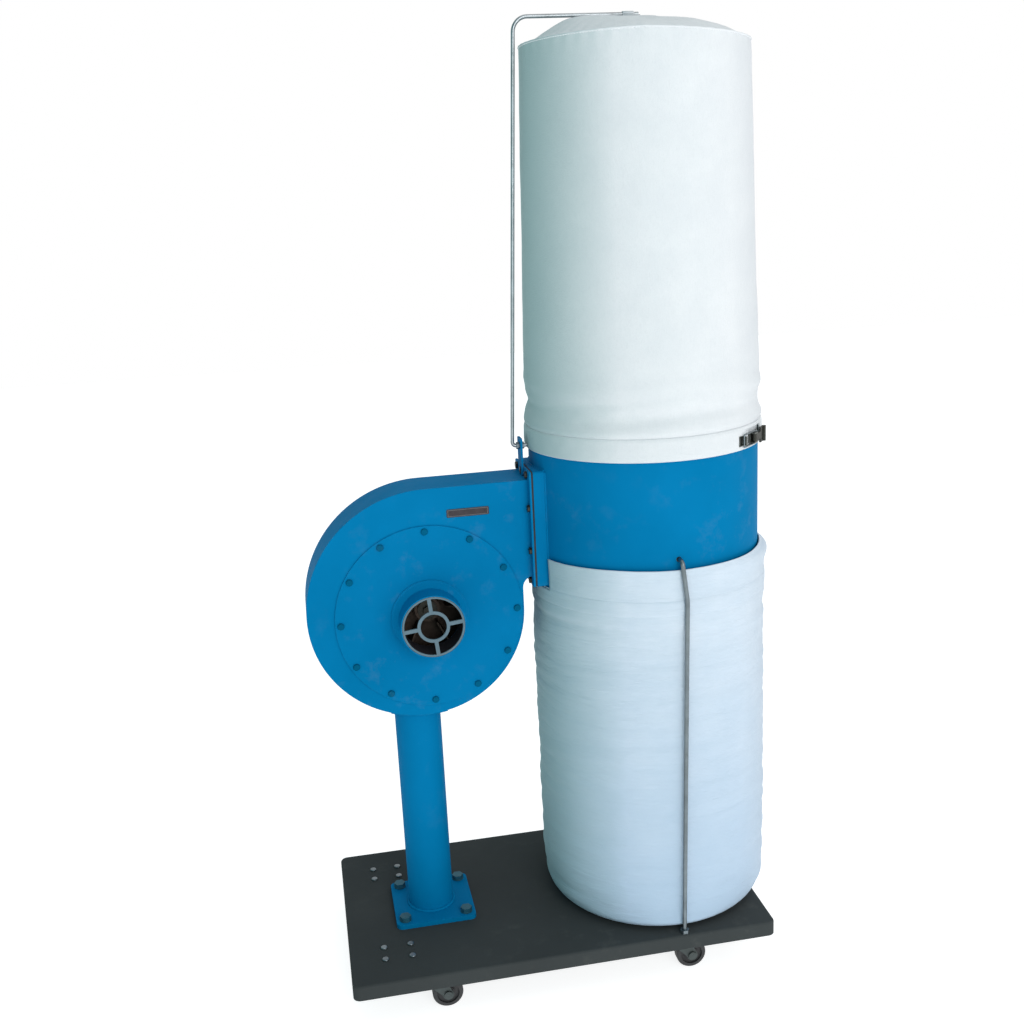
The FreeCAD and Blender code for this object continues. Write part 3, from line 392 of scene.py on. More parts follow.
def around(axis, radius, angle, z):
    return Vector((axis.x + radius * math.cos(angle), axis.y + radius * math.sin(angle), z))


def sweep(name, sections, closed=False):
    """A mesh through rings of vertices: sections[i] holds the ring at step i."""
    made = bmesh.new()
    rings = [[made.verts.new(v) for v in ring] for ring in sections]
    count = len(rings)
    for i in range(count if closed else count - 1):
        first, second = rings[i], rings[(i + 1) % count]
        for j in range(len(first)):
            k = (j + 1) % len(first)
            made.faces.new((first[j], first[k], second[k], second[j]))
    if not closed:
        made.faces.new(rings[0][::-1])
        made.faces.new(rings[-1])
    bmesh.ops.recalc_face_normals(made, faces=made.faces)
    mesh = bpy.data.meshes.new(name)
    made.to_mesh(mesh)
    made.free()
    return mesh


def tube_sections(path, radius, sides=8, closed=False):
    """Rings of a round tube along a path; radius is a number or one number for each point."""
    rings = []
    for i, point in enumerate(path):
        before = path[i - 1] if i or closed else path[0]
        after = path[(i + 1) % len(path)] if i + 1 < len(path) or closed else path[-1]
        ahead = (after - before).normalized()
        side = ahead.orthogonal().normalized() if i == 0 else (side - ahead * side.dot(ahead)).normalized()
        up = ahead.cross(side)
        size = radius[i] if isinstance(radius, list) else radius
        rings.append([point + side * size * math.cos(a) + up * size * math.sin(a)
                      for a in (math.tau * k / sides for k in range(sides))])
    return rings


# --------------------------------------------------------------------------- bag cloth
COLUMNS = 144
FINER = 2
BLUR = 4  # columns to each side that a simulated movement is averaged over
FELT, CLOTH = 0.0016, 0.0013


def lathe_grid(axis, profile):
    """Points of a lathed cloth, [row, column, xyz], from (radius, z) pairs."""
    angles = np.arange(COLUMNS) * math.tau / COLUMNS
    grid = np.zeros((len(profile), COLUMNS, 3))
    for row, (radius, z) in enumerate(profile):
        grid[row, :, 0] = axis.x + radius * np.cos(angles)
        grid[row, :, 1] = axis.y + radius * np.sin(angles)
        grid[row, :, 2] = z
    return grid


def finer_rows(profile, step):
    """The same profile with points at most a step apart."""
    filled = [profile[0]]
    for (r0, z0), (r1, z1) in zip(profile, profile[1:]):
        parts = max(1, math.ceil(math.hypot(r1 - r0, z1 - z0) / step))
        filled += [(r0 + (r1 - r0) * k / parts, z0 + (z1 - z0) * k / parts) for k in range(1, parts + 1)]
    return filled


def catmull_rom(p0, p1, p2, p3, t):
    """A point at share t of the way from p1 to p2, on a smooth curve through all four."""
    return 0.5 * (2 * p1 + (p2 - p0) * t + (2 * p0 - 5 * p1 + 4 * p2 - p3) * t * t
                  + (3 * p1 - p0 - 3 * p2 + p3) * t ** 3)


def smooth_profile(profile, step):
    """Catmull-Rom through the profile's points, with points about a step apart."""
    points = np.array([profile[0]] + list(profile) + [profile[-1]], float)
    filled = [tuple(points[1])]
    for p0, p1, p2, p3 in zip(points, points[1:], points[2:], points[3:]):
        parts = max(1, round(float(np.linalg.norm(p2 - p1)) / step))
        filled += [tuple(catmull_rom(p0, p1, p2, p3, k / parts)) for k in range(1, parts + 1)]
    return filled


def grid_mesh(name, grid, keep=None):
    """A mesh over the grid, closed round its columns, with a cloth map in metres."""
    rows, columns, _ = grid.shape
    steps = np.linalg.norm(np.diff(grid, axis=0), axis=2).mean(axis=1)
    along = np.concatenate(([0.0], np.cumsum(steps)))
    reach = np.linalg.norm(grid[0, :, :2] - grid[0, :, :2].mean(axis=0), axis=1).mean()
    across = np.arange(columns + 1) * math.tau * reach / columns
    faces, maps = [], []
    for i in range(rows - 1):
        for j in range(columns):
            if keep is not None and not keep(i, j):
                continue
            k = (j + 1) % columns
            faces.append((i * columns + j, i * columns + k, (i + 1) * columns + k, (i + 1) * columns + j))
            maps += [(across[j], along[i]), (across[j + 1], along[i]),
                     (across[j + 1], along[i + 1]), (across[j], along[i + 1])]
    mesh = bpy.data.meshes.new(name)
    mesh.from_pydata(grid.reshape(-1, 3).tolist(), [], faces)
    layer = mesh.uv_layers.new(name="cloth")
    layer.data.foreach_set("uv", np.array(maps, np.float32).ravel())
    mesh.validate()
    clean = bmesh.new()
    clean.from_mesh(mesh)
    loose = [v for v in clean.verts if not v.link_faces]
    bmesh.ops.delete(clean, geom=loose, context="VERTS")
    clean.to_mesh(mesh)
    clean.free()
    return mesh


def finer_grid(grid):
    """The grid with FINER times as many rows and columns, on smooth curves."""
    for axis in (0, 1):
        rows = grid if axis == 0 else grid.transpose(1, 0, 2)
        if axis == 0:
            padded = np.concatenate([rows[:1], rows, rows[-1:]])
        else:
            padded = np.concatenate([rows[-1:], rows, rows[:2]])
        made = []
        for i in range(len(padded) - 3):
            p0, p1, p2, p3 = padded[i:i + 4]
            made += [catmull_rom(p0, p1, p2, p3, k / FINER) for k in range(FINER)]
        if axis == 0:
            made.append(padded[-2])
        rows = np.array(made)
        grid = rows if axis == 0 else rows.transpose(1, 0, 2)
    return grid


def grid_normals(grid):
    """Outward normals of a grid closed round its columns."""
    along = np.gradient(grid, axis=0)
    across = np.roll(grid, -1, axis=1) - np.roll(grid, 1, axis=1)
    normal = np.cross(across, along)
    return normal / np.maximum(np.linalg.norm(normal, axis=2, keepdims=True), 1e-9)


def inflate(grid, rest, pinned, pressure, frames, reach):
    """Simulate the grid as cloth; no point moves further than reach from where it started."""
    rows, columns, _ = grid.shape
    mesh = grid_mesh("cloth_work", grid)
    work = bpy.data.objects.new("cloth_work", mesh)
    scene.collection.objects.link(work)
    work.shape_key_add(name="Basis")
    key = work.shape_key_add(name="cut")
    key.data.foreach_set("co", rest.reshape(-1))
    key.value = 0.0
    pins = work.vertex_groups.new(name="pins")
    for index in np.flatnonzero(pinned.reshape(-1)).tolist():
        pins.add([index], float(pinned.reshape(-1)[index]), "REPLACE")
    cloth = work.modifiers.new("cloth", "CLOTH")
    settings = cloth.settings
    settings.quality = 5
    settings.mass = 0.12
    settings.tension_stiffness = settings.compression_stiffness = 40.0
    settings.shear_stiffness = 14.0
    settings.bending_stiffness = 1.2
    settings.tension_damping = settings.compression_damping = settings.shear_damping = 12.0
    settings.bending_damping = 1.0
    settings.air_damping = 3.0
    settings.vertex_group_mass = "pins"
    settings.rest_shape_key = key
    settings.use_pressure = True
    settings.uniform_pressure_force = pressure
    settings.effector_weights.gravity = 0.25
    cloth.collision_settings.use_collision = False
    cloth.point_cache.frame_start = 1
    cloth.point_cache.frame_end = frames
    for number in range(1, frames + 1):
        scene.frame_set(number)
    shown = work.evaluated_get(bpy.context.evaluated_depsgraph_get())
    flat = np.zeros(rows * columns * 3)
    shown.data.vertices.foreach_get("co", flat)
    scene.frame_set(1)
    bpy.data.objects.remove(work)
    moved = flat.reshape(rows, columns, 3) - grid
    shifts = range(-BLUR, BLUR + 1)
    moved = sum(np.roll(moved, shift, axis=1) for shift in shifts) / len(shifts)
    length = np.linalg.norm(moved, axis=2, keepdims=True)
    return grid + moved * np.minimum(1.0, reach / np.maximum(length, 1e-9))


def stretched_rest(grid, extra):
    """The cloth as it was cut: extra(row) is the share of added length between rows."""
    rest = grid.copy()
    drop = 0.0
    for i in range(1, len(grid)):
        step = (grid[i] - grid[i - 1]).mean(axis=0)[2]
        drop += step * extra(i)
        rest[i, :, 2] += drop
    return rest


def wrinkled(grid, field):
    """Push the cloth along its normals by field(angle round the bag, point), in metres."""
    normals = grid_normals(grid)
    rows, columns, _ = grid.shape
    moved = grid.copy()
    for i in range(rows):
        for j in range(columns):
            push = field(j * math.tau / columns, grid[i, j])
            if push:
                moved[i, j] += normals[i, j] * push
    return moved


def ripple(x, y, z):
    return noise.noise(Vector((x, y, z)))


def wrapped(angle, turns, height, seed):
    """Noise that closes round the bag."""
    return ripple(math.cos(angle) * turns + seed, math.sin(angle) * turns, height)


def bell(value, centre, width):
    return math.exp(-((value - centre) / width) ** 2)


def angle_gap(a, b):
    return abs((a - b + math.pi) % math.tau - math.pi)


def stitch_row(name, body, places, out, look_slot, length=0.0032, size=0.00042):
    """Thread stitches on (point, along, normal) places."""
    made = bmesh.new()
    for point, along, normal in places:
        side = normal.cross(along).normalized()
        rings = []
        for t, grow, lift in ((-0.5, 0.3, -0.5), (-0.34, 1.0, 0.35), (0.34, 1.0, 0.35), (0.5, 0.3, -0.5)):
            centre = point + along * (length * t) + normal * (out + size * lift)
            rings.append([made.verts.new(centre + (side * math.cos(a) + normal * math.sin(a)) * size * grow)
                          for a in (math.tau * k / 5 for k in range(5))])
        for first, second in zip(rings, rings[1:]):
            for j in range(5):
                k = (j + 1) % 5
                made.faces.new((first[j], second[j], second[k], first[k]))
        made.faces.new(rings[0])
        made.faces.new(rings[-1][::-1])
    mesh = bpy.data.meshes.new(name)
    made.to_mesh(mesh)
    made.free()
    return piece(name, mesh, body, look_slot, THREAD)


def row_places(grid, row, pitch, skip=None):
    """Places at an even pitch along a grid row."""
    normals = grid_normals(grid)
    points = [Vector(p) for p in grid[row]]
    points.append(points[0])
    outward = [Vector(n) for n in normals[row]]
    outward.append(outward[0])
    lengths = [0.0]
    for a, b in zip(points, points[1:]):
        lengths.append(lengths[-1] + (b - a).length)
    count = int(lengths[-1] / pitch)
    places, j = [], 0
    for k in range(count):
        want = (k + 0.5) * lengths[-1] / count
        while lengths[j + 1] < want:
            j += 1
        t = (want - lengths[j]) / (lengths[j + 1] - lengths[j])
        point = points[j].lerp(points[j + 1], t)
        if skip is None or not skip(point):
            places.append((point, (points[j + 1] - points[j]).normalized(),
                           outward[j].lerp(outward[j + 1], t).normalized()))
    return places


def row_tube(name, grid, row, radius, out, body, slot):
    """A cord or welt sewn along a whole grid row."""
    normals = grid_normals(grid)
    path = [Vector(p) + Vector(n) * out for p, n in zip(grid[row], normals[row])]
    return piece(name, sweep(name, tube_sections(path, radius, 8, closed=True), closed=True), body, slot)


def thicken(cloth, thickness):
    """Give a cloth piece its thickness, half to each side."""
    thick = cloth.modifiers.new("thickness", "SOLIDIFY")
    thick.thickness, thick.offset = thickness, 0.0


def latch_angle(lever, axis):
    """The direction of a latch lever from a bag's axis."""
    place = middle(lever)
    return math.atan2(place.y - axis.y, place.x - axis.x)


def in_latch_window(angle, latch):
    """Whether an angle round the bag lies in the window that the cloth leaves for a latch."""
    gap = (angle - latch + math.pi) % math.tau - math.pi
    return -0.205 < gap < 0.085


def webbing(name):
    """Flat woven tape: ribs across, a raised edge cord and a little fuzz."""
    s = Shader(name, Metallic=0.0, Roughness=0.8, Sheen_Weight=0.3)
    ribs = s.node("ShaderNodeTexWave", {"Vector": s.place, "Scale": 190.0, "Distortion": 0.3},
                  wave_type="BANDS", bands_direction="Y").outputs["Fac"]
    fuzz = s.noise(900.0, 4.0, 0.7)
    base = s.mix(s.ramp(ribs, 0.1, 0.8), (0.42, 0.44, 0.46), (0.66, 0.69, 0.72))
    s.set("Base Color", s.mix(s.ramp(fuzz, 0.4, 0.8, 0.0, 0.3), base, (0.75, 0.77, 0.79)))
    s.relief([(ribs, 0.0003), (fuzz, 0.0001)])
    return s.material


THREAD = plastic("white_thread", (0.72, 0.74, 0.76), 0.7, 0.00001)
WEBBING = webbing("strap_webbing")


# -------------------------------------------------------------------------- filter bag
HEM_INSIDE = drum_radius + 0.0012


def settle_cap(grid, rim_row, rim_z, swell=0.013, droop=0.008):
    """The cap swells up beside the hanger rod, and its rim droops on the far side."""
    made = np.array(grid)
    x, y = made[..., 0] - drum_axis.x, made[..., 1] - drum_axis.y
    reach = np.hypot(x, y)
    toward = (x * BLOWER_SIDE[0] + y * BLOWER_SIDE[1]) / np.maximum(reach, 1e-6)
    share = np.clip(reach / reach[rim_row].mean(), 0.0, 1.0)
    raised = swell * np.clip(toward, 0.0, 1.0) * np.sin(math.pi * share ** 1.2).clip(0.0) ** 2.5
    made[rim_row:, :, 2] += raised[rim_row:]
    edge = np.exp(-((made[..., 2] - rim_z) / 0.02) ** 2)
    edge[rim_row:] = share[rim_row:] ** 6
    made[..., 2] -= droop * np.clip(-toward, 0.0, 1.0) * edge
    return made


def filter_profiles(hem_low, hem_high, band, rim_z):
    """(radius, z) outlines of the filter bag's turned hem, wall and cap."""
    inner = HEM_INSIDE
    flap = [(inner + 0.0014, hem_high + 0.001), (inner + 0.0034, hem_high - 0.003), (inner + 0.0042, band),
            (inner + 0.0040, hem_low + 0.005), (inner + 0.0034, hem_low + 0.0012), (inner + 0.0018, hem_low),
            (inner + 0.0003, hem_low + 0.0014), (inner, hem_low + 0.005), (inner, hem_high - 0.004)]
    wall = [(inner + 0.0004, hem_high), (0.1894, 0.9125), (0.1868, 0.926), (0.1842, 0.942), (0.1856, 0.958),
            (0.1866, 0.975), (0.1854, 1.007), (0.1834, 1.071), (0.1812, 1.133), (0.1792, 1.194),
            (0.1780, 1.255), (0.1768, 1.314), (0.1745, 1.372), (0.1730, 1.430), (0.1716, rim_z - 0.002)]
    cap = [(0.1712, rim_z), (0.1690, rim_z + 0.0016), (0.140, rim_z + 0.0128), (0.105, rim_z + 0.0225),
           (0.066, rim_z + 0.0285), (0.030, rim_z + 0.0305), (0.004, rim_z + 0.031)]
    return smooth_profile(flap, 0.0032), smooth_profile(wall, 0.0075), finer_rows(cap, 0.010)


def filter_wrinkles(hem_low, hem_high, rim_z):
    """Folds above the clamp, slow waves up the wall and a little puckering at the rim."""
    def field(angle, point):
        z = point[2]
        if z < hem_high + 0.003:
            reach = np.hypot(point[0] - drum_axis.x, point[1] - drum_axis.y)
            if z < hem_low + 0.008 or reach < HEM_INSIDE + 0.003:
                return 0.0
            return 0.0004 * wrapped(angle, 9.0, z * 60, 4.1)
        share = min(1.0, (z - hem_high) / 0.02)
        push = 0.0018 * wrapped(angle, 1.3, z * 8.0, 1.0) * share
        push += 0.0006 * wrapped(angle, 1.6, z * 26.0, 8.0) * share
        fold = z * 52.0 + 0.5 * math.sin(angle * 2 + 0.6)
        push += bell(z, 0.948, 0.036) * 0.0046 * wrapped(angle, 0.9, fold, 3.0)
        if z > rim_z - 0.03:
            pucker = math.sin(angle * 46 + 3 * wrapped(angle, 2, 0, 5.0))
            push += bell(z, rim_z, 0.018) * 0.00025 * pucker
        return push

    return field


def make_filter_bag():
    hem_low, hem_high = filter_low.z, filter_low.z + 0.034
    rim_z = filter_high.z - 0.032
    flap, wall, cap = filter_profiles(hem_low, hem_high, middle("upper_band").z, rim_z)
    grid = lathe_grid(drum_axis, wall + cap)
    def slack(i):
        z = grid[i, 0, 2]
        return 0.002 + 0.022 * bell(z, 0.958, 0.035) if z < rim_z else 0.0
    rest = stretched_rest(grid, slack)
    pinned = np.zeros(grid.shape[:2])
    pinned[:2] = 1.0
    pinned[len(wall) + len(cap) - 5:] = 1.0
    pinned[len(wall) - 1:len(wall) + 1] = 0.6
    grid = inflate(grid, rest, pinned, 2.2, 24, 0.004)
    fine = finer_grid(np.concatenate([lathe_grid(drum_axis, flap), grid]))
    first_wall = len(flap) * FINER
    rim_row = (len(flap) + len(wall) - 1) * FINER + 1
    fine = wrinkled(fine, filter_wrinkles(hem_low, hem_high, rim_z))
    fine = settle_cap(fine, rim_row, rim_z)
    latch = latch_angle("upper_lever", drum_axis)
    step = math.tau / fine.shape[1]

    def keep(i, j):
        """Everything but the latch's window in the hem's outer layer."""
        outside = np.hypot(*(fine[i, j, :2] - np.array(drum_axis))) > HEM_INSIDE + 0.0022
        in_hem = hem_low + 0.0045 < fine[i, j, 2] < hem_high - 0.0035
        return i >= first_wall - 2 or not (outside and in_hem and in_latch_window((j + 0.5) * step, latch))

    bag = piece("filter_bag_cloth", grid_mesh("filter_bag_cloth", fine, keep), "machine", "filter_felt")
    thicken(bag, FELT)
    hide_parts("filter_bag")
    row_tube("filter_bag_welt", fine, rim_row, 0.0015, 0.0007, "machine", "filter_felt")
    row_z = [fine[i, :, 2].mean() for i in range(fine.shape[0])]
    seams = (hem_high - 0.0022, range(first_wall)), (rim_z - 0.006, range(rim_row - 14, rim_row))
    for number, (seam_z, near) in enumerate(seams):
        row = min(near, key=lambda i: abs(row_z[i] - seam_z) + (i > first_wall // 2 and near[0] == 0))
        stitch_row(f"filter_bag_stitches_{number}", "machine", row_places(fine, row, 0.0046),
                   FELT / 2 + 0.0001, "filter_felt")
    make_strap(rim_z + 0.031)


def make_strap(cap_z):
    """Webbing loop that holds the cap's middle up to the hanger rod."""
    centre = Vector((drum_axis.x - 0.008, drum_axis.y, 0.0))
    half, thick = 0.0085, 0.0006
    reach = HANGER_RADIUS + 0.0008
    rod_z = rod_top - HANGER_RADIUS
    tail = [(-0.034, cap_z + 0.0012), (-0.018, cap_z + 0.0016), (-0.0085, cap_z + 0.0026)]
    loop = [(-reach * math.cos(a), rod_z + reach * math.sin(a)) for a in np.linspace(-0.5, math.pi + 0.5, 12)]
    path = tail + loop + [(-y, z) for y, z in tail[::-1]]
    edge = [(-half, -thick), (half, -thick), (half + 0.0003, 0), (half, thick), (-half, thick),
            (-half - 0.0003, 0)]
    rings = []
    for i, (y, z) in enumerate(path):
        before, after = path[max(i - 1, 0)], path[min(i + 1, len(path) - 1)]
        along = Vector((0, after[0] - before[0], after[1] - before[1])).normalized()
        out = Vector((0, -along.z, along.y))
        rings.append([centre + Vector((x, y, z)) + out * lift for x, lift in edge])
    piece("cap_strap", sweep("cap_strap", rings), "machine", "bag_cloth", WEBBING)
    places = []
    for side in (-1, 1):
        for x in np.linspace(-half + 0.002, half - 0.002, 5):
            for y in (0.030, 0.0155):
                places.append((centre + Vector((x, side * y, cap_z + 0.0018)), Vector((1, 0, 0)),
                               Vector((0, 0, 1))))
    stitch_row("cap_strap_stitches", "machine", places, thick, "bag_cloth")


# ---------------------------------------------------------------------- collection bag
band_low, band_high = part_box("lower_band")
BAND_Z, HOOP_HALF = middle("lower_band").z, (band_high.z - band_low.z) / 2
FLOOR_Z = tray_top + 0.0010
LEAN = 1.25  # how far round the bag, in radians, each support rod presses it


def rod_line(name):
    """A support rod's shoulder and foot on its centreline, read from its CAD mesh."""
    co = np.array([v.co for v in nodes[name].data.vertices], float)
    foot = Vector(co[co[:, 2] < tray_top + 0.01].mean(axis=0))
    outward = 1 if foot.y > drum_axis.y else -1
    edge = np.abs(co[:, 1] - drum_axis.y).max() - ROD_RADIUS
    return Vector((drum_axis.x + 0.0086, drum_axis.y + outward * edge, 0.655)), foot


def lean_on_rods(grid, rods):
    """Flatten the bag's front and back so that it leans on the support rods."""
    axis = np.array(dust_axis)
    for shoulder, foot in rods:
        for i in range(grid.shape[0]):
            t = (shoulder.z - grid[i, :, 2].mean()) / (shoulder.z - foot.z)
            rod = shoulder.lerp(foot, min(max(t, 0.0), 1.0))
            limit = abs(rod.y - dust_axis.y) - ROD_RADIUS - 0.0012
            centre = math.atan2(rod.y - dust_axis.y, rod.x - dust_axis.x)
            for j in range(grid.shape[1]):
                gap = angle_gap(j * math.tau / grid.shape[1], centre)
                if gap > LEAN:
                    continue
                reach = grid[i, j, :2] - axis
                size = float(np.hypot(*reach))
                share = 0.5 - 0.5 * math.cos(math.pi * gap / LEAN)
                target = limit + share * max(size - limit, 0.0)
                grid[i, j, :2] = axis + reach * min(1.0, target / size)
    return grid


def dust_hem():
    """The hem that hangs from the drum's side, from its rim down into the clamp band."""
    hem = [(0.1925, 1.0), (0.1922, 0.8), (0.1918, 0.5), (0.1916, 0.2), (0.1915, 0.0)]
    hem = smooth_profile(hem, 0.09)
    tuck = [(0.1913, BAND_Z + HOOP_HALF + 0.002), (0.1902, BAND_Z + HOOP_HALF - 0.002),
            (0.1901, BAND_Z + 0.004), (0.1901, BAND_Z - 0.004),
            (0.1904, BAND_Z - HOOP_HALF + 0.001), (0.1914, BAND_Z - HOOP_HALF - 0.003)]
    low = BAND_Z + HOOP_HALF + 0.004
    grid = lathe_grid(dust_axis, hem + smooth_profile(tuck, 0.0035))
    for i, (hem_radius, share) in enumerate(hem):
        for j in range(COLUMNS):
            angle = j * math.tau / COLUMNS
            rim = 0.702 - 0.003 * math.sin(angle) + 0.0012 * wrapped(angle, 1.6, 0.0, 2.0)
            radius = hem_radius + 0.0008 * share * wrapped(angle, 2.2, 3.0, 6.0)
            outer = bell(angle_gap(angle, -0.3), 0.0, 0.7)
            radius += outer * 0.0042 * bell(share, 0.68, 0.22)
            on_drum = drum_radius - (dust_axis.x - drum_axis.x) * math.cos(angle) + 0.0022
            radius += outer * min(1.0, max(0.0, (share - 0.78) / 0.2)) * (on_drum - radius)
            grid[i, j] = around(dust_axis, radius, angle, low + (rim - low) * share)
    return grid


def dust_wrinkles(rods):
    """Slanting folds below the clamp band that fade at the support rods and the tray."""
    directions = [math.atan2(rod.y - dust_axis.y, rod.x - dust_axis.x) for rod, _ in rods]
    wall_top = BAND_Z - HOOP_HALF - 0.004

    def field(angle, point):
        z = point[2]
        free = 1.0 - 0.85 * max(bell(angle_gap(angle, d), 0.0, 0.085) for d in directions)
        if z > BAND_Z + HOOP_HALF + 0.006:
            return 0.0005 * free * wrapped(angle, 5.0, z * 34.0, 9.0)
        if z > wall_top or z < 0.083:
            return 0.0
        share = min(1.0, (wall_top - z) / 0.03) * min(1.0, (z - 0.083) / 0.03)
        slant = z * 58.0 + 0.8 * math.sin(angle + 1.0)
        push = 0.0018 * wrapped(angle, 1.1, slant, 12.0)
        push += 0.0010 * wrapped(angle, 1.9, slant * 2.1, 15.0)
        push += 0.0012 * wrapped(angle, 1.0, z * 10.0, 18.0)
        return push * share * free

    return field


def beside_neck(x, y, clear):
    """Whether a place lies where the collar's neck passes, with some clearance."""
    return x < drum_axis.x and neck_low.y - clear < y < neck_high.y + clear


def at_neck(point):
    return beside_neck(point.x, point.y, 0.004)


def make_dust_bag():
    rods = [rod_line("support_rod_front"), rod_line("support_rod_rear")]
    wall = [(0.1916, BAND_Z - HOOP_HALF - 0.006), (0.1922, 0.618), (0.1938, 0.596), (0.1952, 0.560),
            (0.1956, 0.480), (0.1958, 0.400), (0.1955, 0.345), (0.1952, 0.258), (0.1951, 0.200),
            (0.1943, 0.152), (0.1924, 0.1205), (0.1882, 0.0990), (0.1825, 0.0880),
            (0.1760, FLOOR_Z + 0.0026), (0.1680, FLOOR_Z)]
    wall = smooth_profile(wall, 0.0078)
    bottom = finer_rows([(radius, FLOOR_Z) for radius in (0.1675, 0.120, 0.060, 0.006)], 0.014)[1:]
    grid = lean_on_rods(lathe_grid(dust_axis, wall + bottom), rods)
    rest = stretched_rest(grid, lambda i: 0.010 if grid[i, 0, 2] > 0.13 else 0.004)
    pinned = np.zeros(grid.shape[:2])
    pinned[:2] = 1.0
    pinned[len(wall) + 1:] = 1.0
    grid = inflate(grid, rest, pinned, 3.5, 26, 0.004)
    grid[:, :, 2] = np.maximum(grid[:, :, 2], FLOOR_Z)
    fine = finer_grid(np.concatenate([dust_hem(), grid]))
    fine = lean_on_rods(wrinkled(fine, dust_wrinkles(rods)), rods)
    columns = fine.shape[1]

    def in_neck(i, j):
        x, y, z = fine[i, j]
        return beside_neck(x, y, 0.003) and z > neck_low.z - 0.0015

    def keep(i, j):
        """Everything but the notch that the neck passes through."""
        return not any(in_neck(a, b) for a in (i, i + 1) for b in (j, (j + 1) % columns))

    bag = piece("dust_bag_cloth", grid_mesh("dust_bag_cloth", fine, keep), "machine", "bag_cloth")
    thicken(bag, CLOTH)
    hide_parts("dust_bag")
    channel = make_channel()
    row_z = fine[:, :, 2].mean(axis=1)
    seam_row = int(np.argmin(np.abs(row_z - (tray_top + 0.0105))))
    row_tube("dust_bag_base_welt", fine, seam_row, 0.0017, 0.0012, "machine", "bag_cloth")
    hem_rows = [int(np.argmin(np.abs(row_z - z))) for z in (0.672, BAND_Z + HOOP_HALF + 0.0048)]
    for number, row in enumerate(hem_rows):
        stitch_row(f"dust_bag_stitches_{number}", "machine", row_places(fine, row, 0.0044, at_neck),
                   CLOTH / 2 + 0.0001, "bag_cloth")
    for number, (row, skip) in enumerate(((2, at_neck), (channel.shape[0] - 3, None))):
        stitch_row(f"dust_bag_channel_stitches_{number}", "machine",
                   row_places(channel, row, 0.0044, skip), 0.0006, "bag_cloth")


def make_channel():
    """The strip sewn over the lower clamp band, open at the latch and under the neck."""
    side = [(0.19155, HOOP_HALF + 0.0045), (0.1926, HOOP_HALF + 0.002), (0.19305, HOOP_HALF - 0.002)]
    profile = [(r, BAND_Z + z) for r, z in side + [(0.1931, 0.0)]] + [(r, BAND_Z - z) for r, z in side[::-1]]
    channel = finer_grid(lathe_grid(dust_axis, smooth_profile(profile, 0.0025)))
    latch = latch_angle("lower_lever", dust_axis)
    last, turn = channel.shape[0] - 1, math.tau / channel.shape[1]

    def keep(i, j):
        x, y, z = channel[i, j]
        in_window = 3 < i < last - 3 and in_latch_window((j + 0.5) * turn, latch)
        return not in_window and not (beside_neck(x, y, 0.003) and z > neck_low.z - 0.004)

    strip = piece("dust_bag_channel", grid_mesh("dust_bag_channel", channel, keep), "machine", "bag_cloth")
    thicken(strip, 0.0009)
    return channel


make_filter_bag()
make_dust_bag()


# ------------------------------------------------------------------------- weld beads
BEAD_STEP, SCALLOP = 0.0008, 0.0034


def bead(name, path, size, closed=False):
    """A run of overlapping weld scallops along a path."""
    fine = [path[0]]
    points = path + path[:1] if closed else path
    for a, b in zip(points, points[1:]):
        parts = max(1, round((b - a).length / BEAD_STEP))
        fine += [a.lerp(b, k / parts) for k in range(1, parts + 1)]
    if closed:
        fine.pop()
    sizes, length = [], 0.0
    for i, point in enumerate(fine):
        length += (point - fine[i - 1]).length if i else 0.0
        scallop = abs(math.sin(length / SCALLOP * math.pi))
        sizes.append(size * (0.82 + 0.2 * scallop + 0.1 * ripple(length * 90, 3.0, 0.0)))
    mesh = sweep(name, tube_sections(fine, sizes, 8, closed), closed)
    return piece(name, mesh, "machine", "blue_paint")


def make_post_beads():
    """Welds round the post's foot, and round its head where it meets the scroll's lower arc."""
    post, low = middle("post_tube"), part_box("post_tube")[0]
    radius = post.x - low.x
    arc_x, arc_z, arc_radius = spigot.x - 0.0135, spigot.z + 0.013, 0.1825
    foot, head = [], []
    for angle in (math.tau * k / 96 for k in range(96)):
        depth = math.sqrt(arc_radius ** 2 - (post.x + radius * math.cos(angle) - arc_x) ** 2)
        foot.append(around(post, radius + 0.0008, angle, low.z + 0.0008))
        head.append(around(post, radius + 0.0008, angle, arc_z - depth - 0.0008))
    bead("post_foot_weld", foot, 0.0030, closed=True)
    bead("post_head_weld", head, 0.0026, closed=True)


def make_neck_beads():
    """Welds along the four edges where the neck meets the round collar."""
    def on_drum(y, z):
        depth = math.sqrt(drum_radius ** 2 - (y - drum_axis.y) ** 2)
        return Vector((drum_axis.x - depth - 0.0003, y, z))

    heights = (neck_low.z + 0.002, neck_high.z - 0.002)
    widths = np.linspace(neck_low.y + 0.002, neck_high.y - 0.002, 24)
    for side, y in (("front", neck_low.y), ("rear", neck_high.y)):
        bead(f"neck_weld_{side}", [on_drum(y, z) for z in heights], 0.0019)
    for side, z in (("top", neck_high.z), ("bottom", neck_low.z)):
        bead(f"neck_weld_{side}", [on_drum(y, z) for y in widths], 0.0019)


make_post_beads()
make_neck_beads()


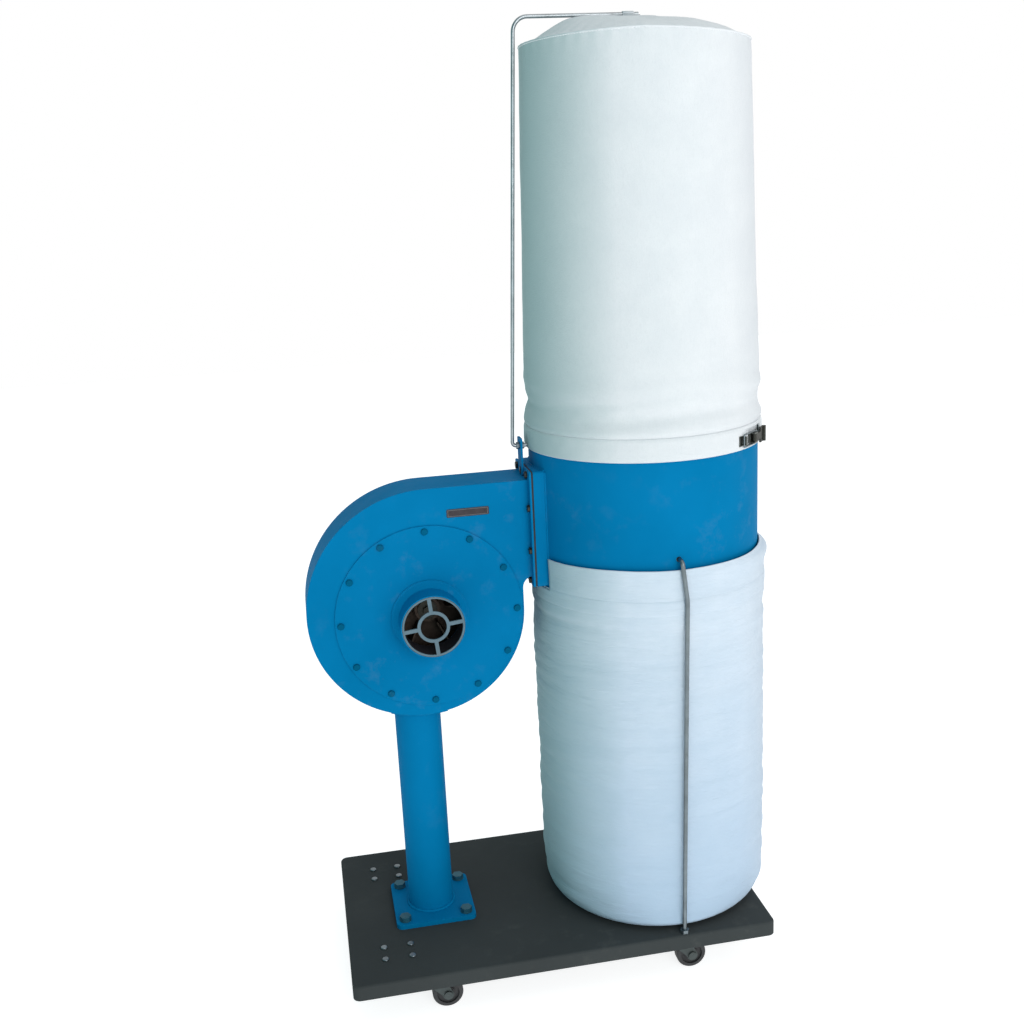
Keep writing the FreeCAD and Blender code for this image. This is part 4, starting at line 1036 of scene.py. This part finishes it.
# -------------------------------------------------------------- camera, floor and light
def plain_floor():
    size, steps = 16.0, 32
    made = bmesh.new()
    bmesh.ops.create_grid(made, x_segments=steps, y_segments=steps, size=size / 2)
    mesh = bpy.data.meshes.new("studio_floor")
    made.to_mesh(mesh)
    made.free()
    s = Shader("pale_floor", Metallic=0.0, Specular_IOR_Level=0.1, Emission_Strength=0.8,
               Emission_Color=(1.0, 1.0, 1.0, 1.0))
    s.set("Base Color", s.mix(s.ramp(s.noise(1.3, 3.0), 0.3, 0.7), (0.5, 0.505, 0.51), (0.54, 0.543, 0.547)))
    s.set("Roughness", s.ramp(s.noise(6.0, 3.0), 0.3, 0.7, 0.7, 0.8))
    floor = bpy.data.objects.new("studio_floor", mesh)
    scene.collection.objects.link(floor)
    mesh.materials.append(s.material)


def area_light(name, place, target, size, energy):
    light = bpy.data.lights.new(name, "AREA")
    light.shape, light.size, light.energy = "DISK", size, energy
    made = bpy.data.objects.new(name, light)
    scene.collection.objects.link(made)
    made.location = place
    made.rotation_euler = (Vector(target) - Vector(place)).to_track_quat("-Z", "Y").to_euler()


def studio_light():
    """Soft white light all round, dimmer and cooler on the blower's side and dimmer overhead."""
    world = bpy.data.worlds.new("studio")
    scene.world = world
    world.use_nodes = True
    sky = Nodes(world.node_tree)
    direction = sky.node("ShaderNodeTexCoord").outputs["Generated"]
    side = sky.vector("DOT_PRODUCT", direction, (-0.94, -0.34, 0.0), "Value")
    cool = sky.ramp(side, -0.05, 0.75, interpolation_type="SMOOTHSTEP")
    up = sky.node("ShaderNodeSeparateXYZ", {0: direction}).outputs[2]
    strength = sky.math("MULTIPLY", sky.ramp(cool, 0.0, 1.0, 1.0, 0.5), sky.ramp(up, 0.2, 0.7, 1.0, 0.7))
    colour = sky.mix(cool, (1.0, 1.0, 1.0), (0.45, 0.85, 0.9))
    glow = sky.node("ShaderNodeBackground", {"Color": colour, "Strength": strength})
    sky.node("ShaderNodeOutputWorld", {0: glow.outputs[0]})
    area_light("key_light", (0.6, -3.5, 1.8), (0.0, 0.0, 0.75), 2.2, 44.0)
    area_light("top_light", (0.4, -0.6, 3.4), (0.0, 0.0, 0.9), 2.4, 6.0)
    scene.view_settings.view_transform = "Standard"


def front_camera():
    """Camera on the front left, 15 degrees down, leaning a little."""
    place = Vector((-0.3589, -1.8567, 1.2571))
    yaw, pitch, lean = 0.1733, 0.2577, -0.0498
    ahead = Vector((math.sin(yaw) * math.cos(pitch), math.cos(yaw) * math.cos(pitch), -math.sin(pitch)))
    right = Vector((math.cos(yaw), -math.sin(yaw), 0.0))
    up = right.cross(ahead)
    side = right * math.cos(lean) + up * math.sin(lean)
    top = up * math.cos(lean) - right * math.sin(lean)
    data = bpy.data.cameras.new("camera")
    data.sensor_width, data.lens = 36.0, 41.73
    camera = bpy.data.objects.new("camera", data)
    scene.collection.objects.link(camera)
    turn = Matrix((side, top, -ahead)).transposed().to_4x4()
    camera.matrix_world = Matrix.Translation(place) @ turn
    scene.camera = camera


plain_floor()
studio_light()
front_camera()
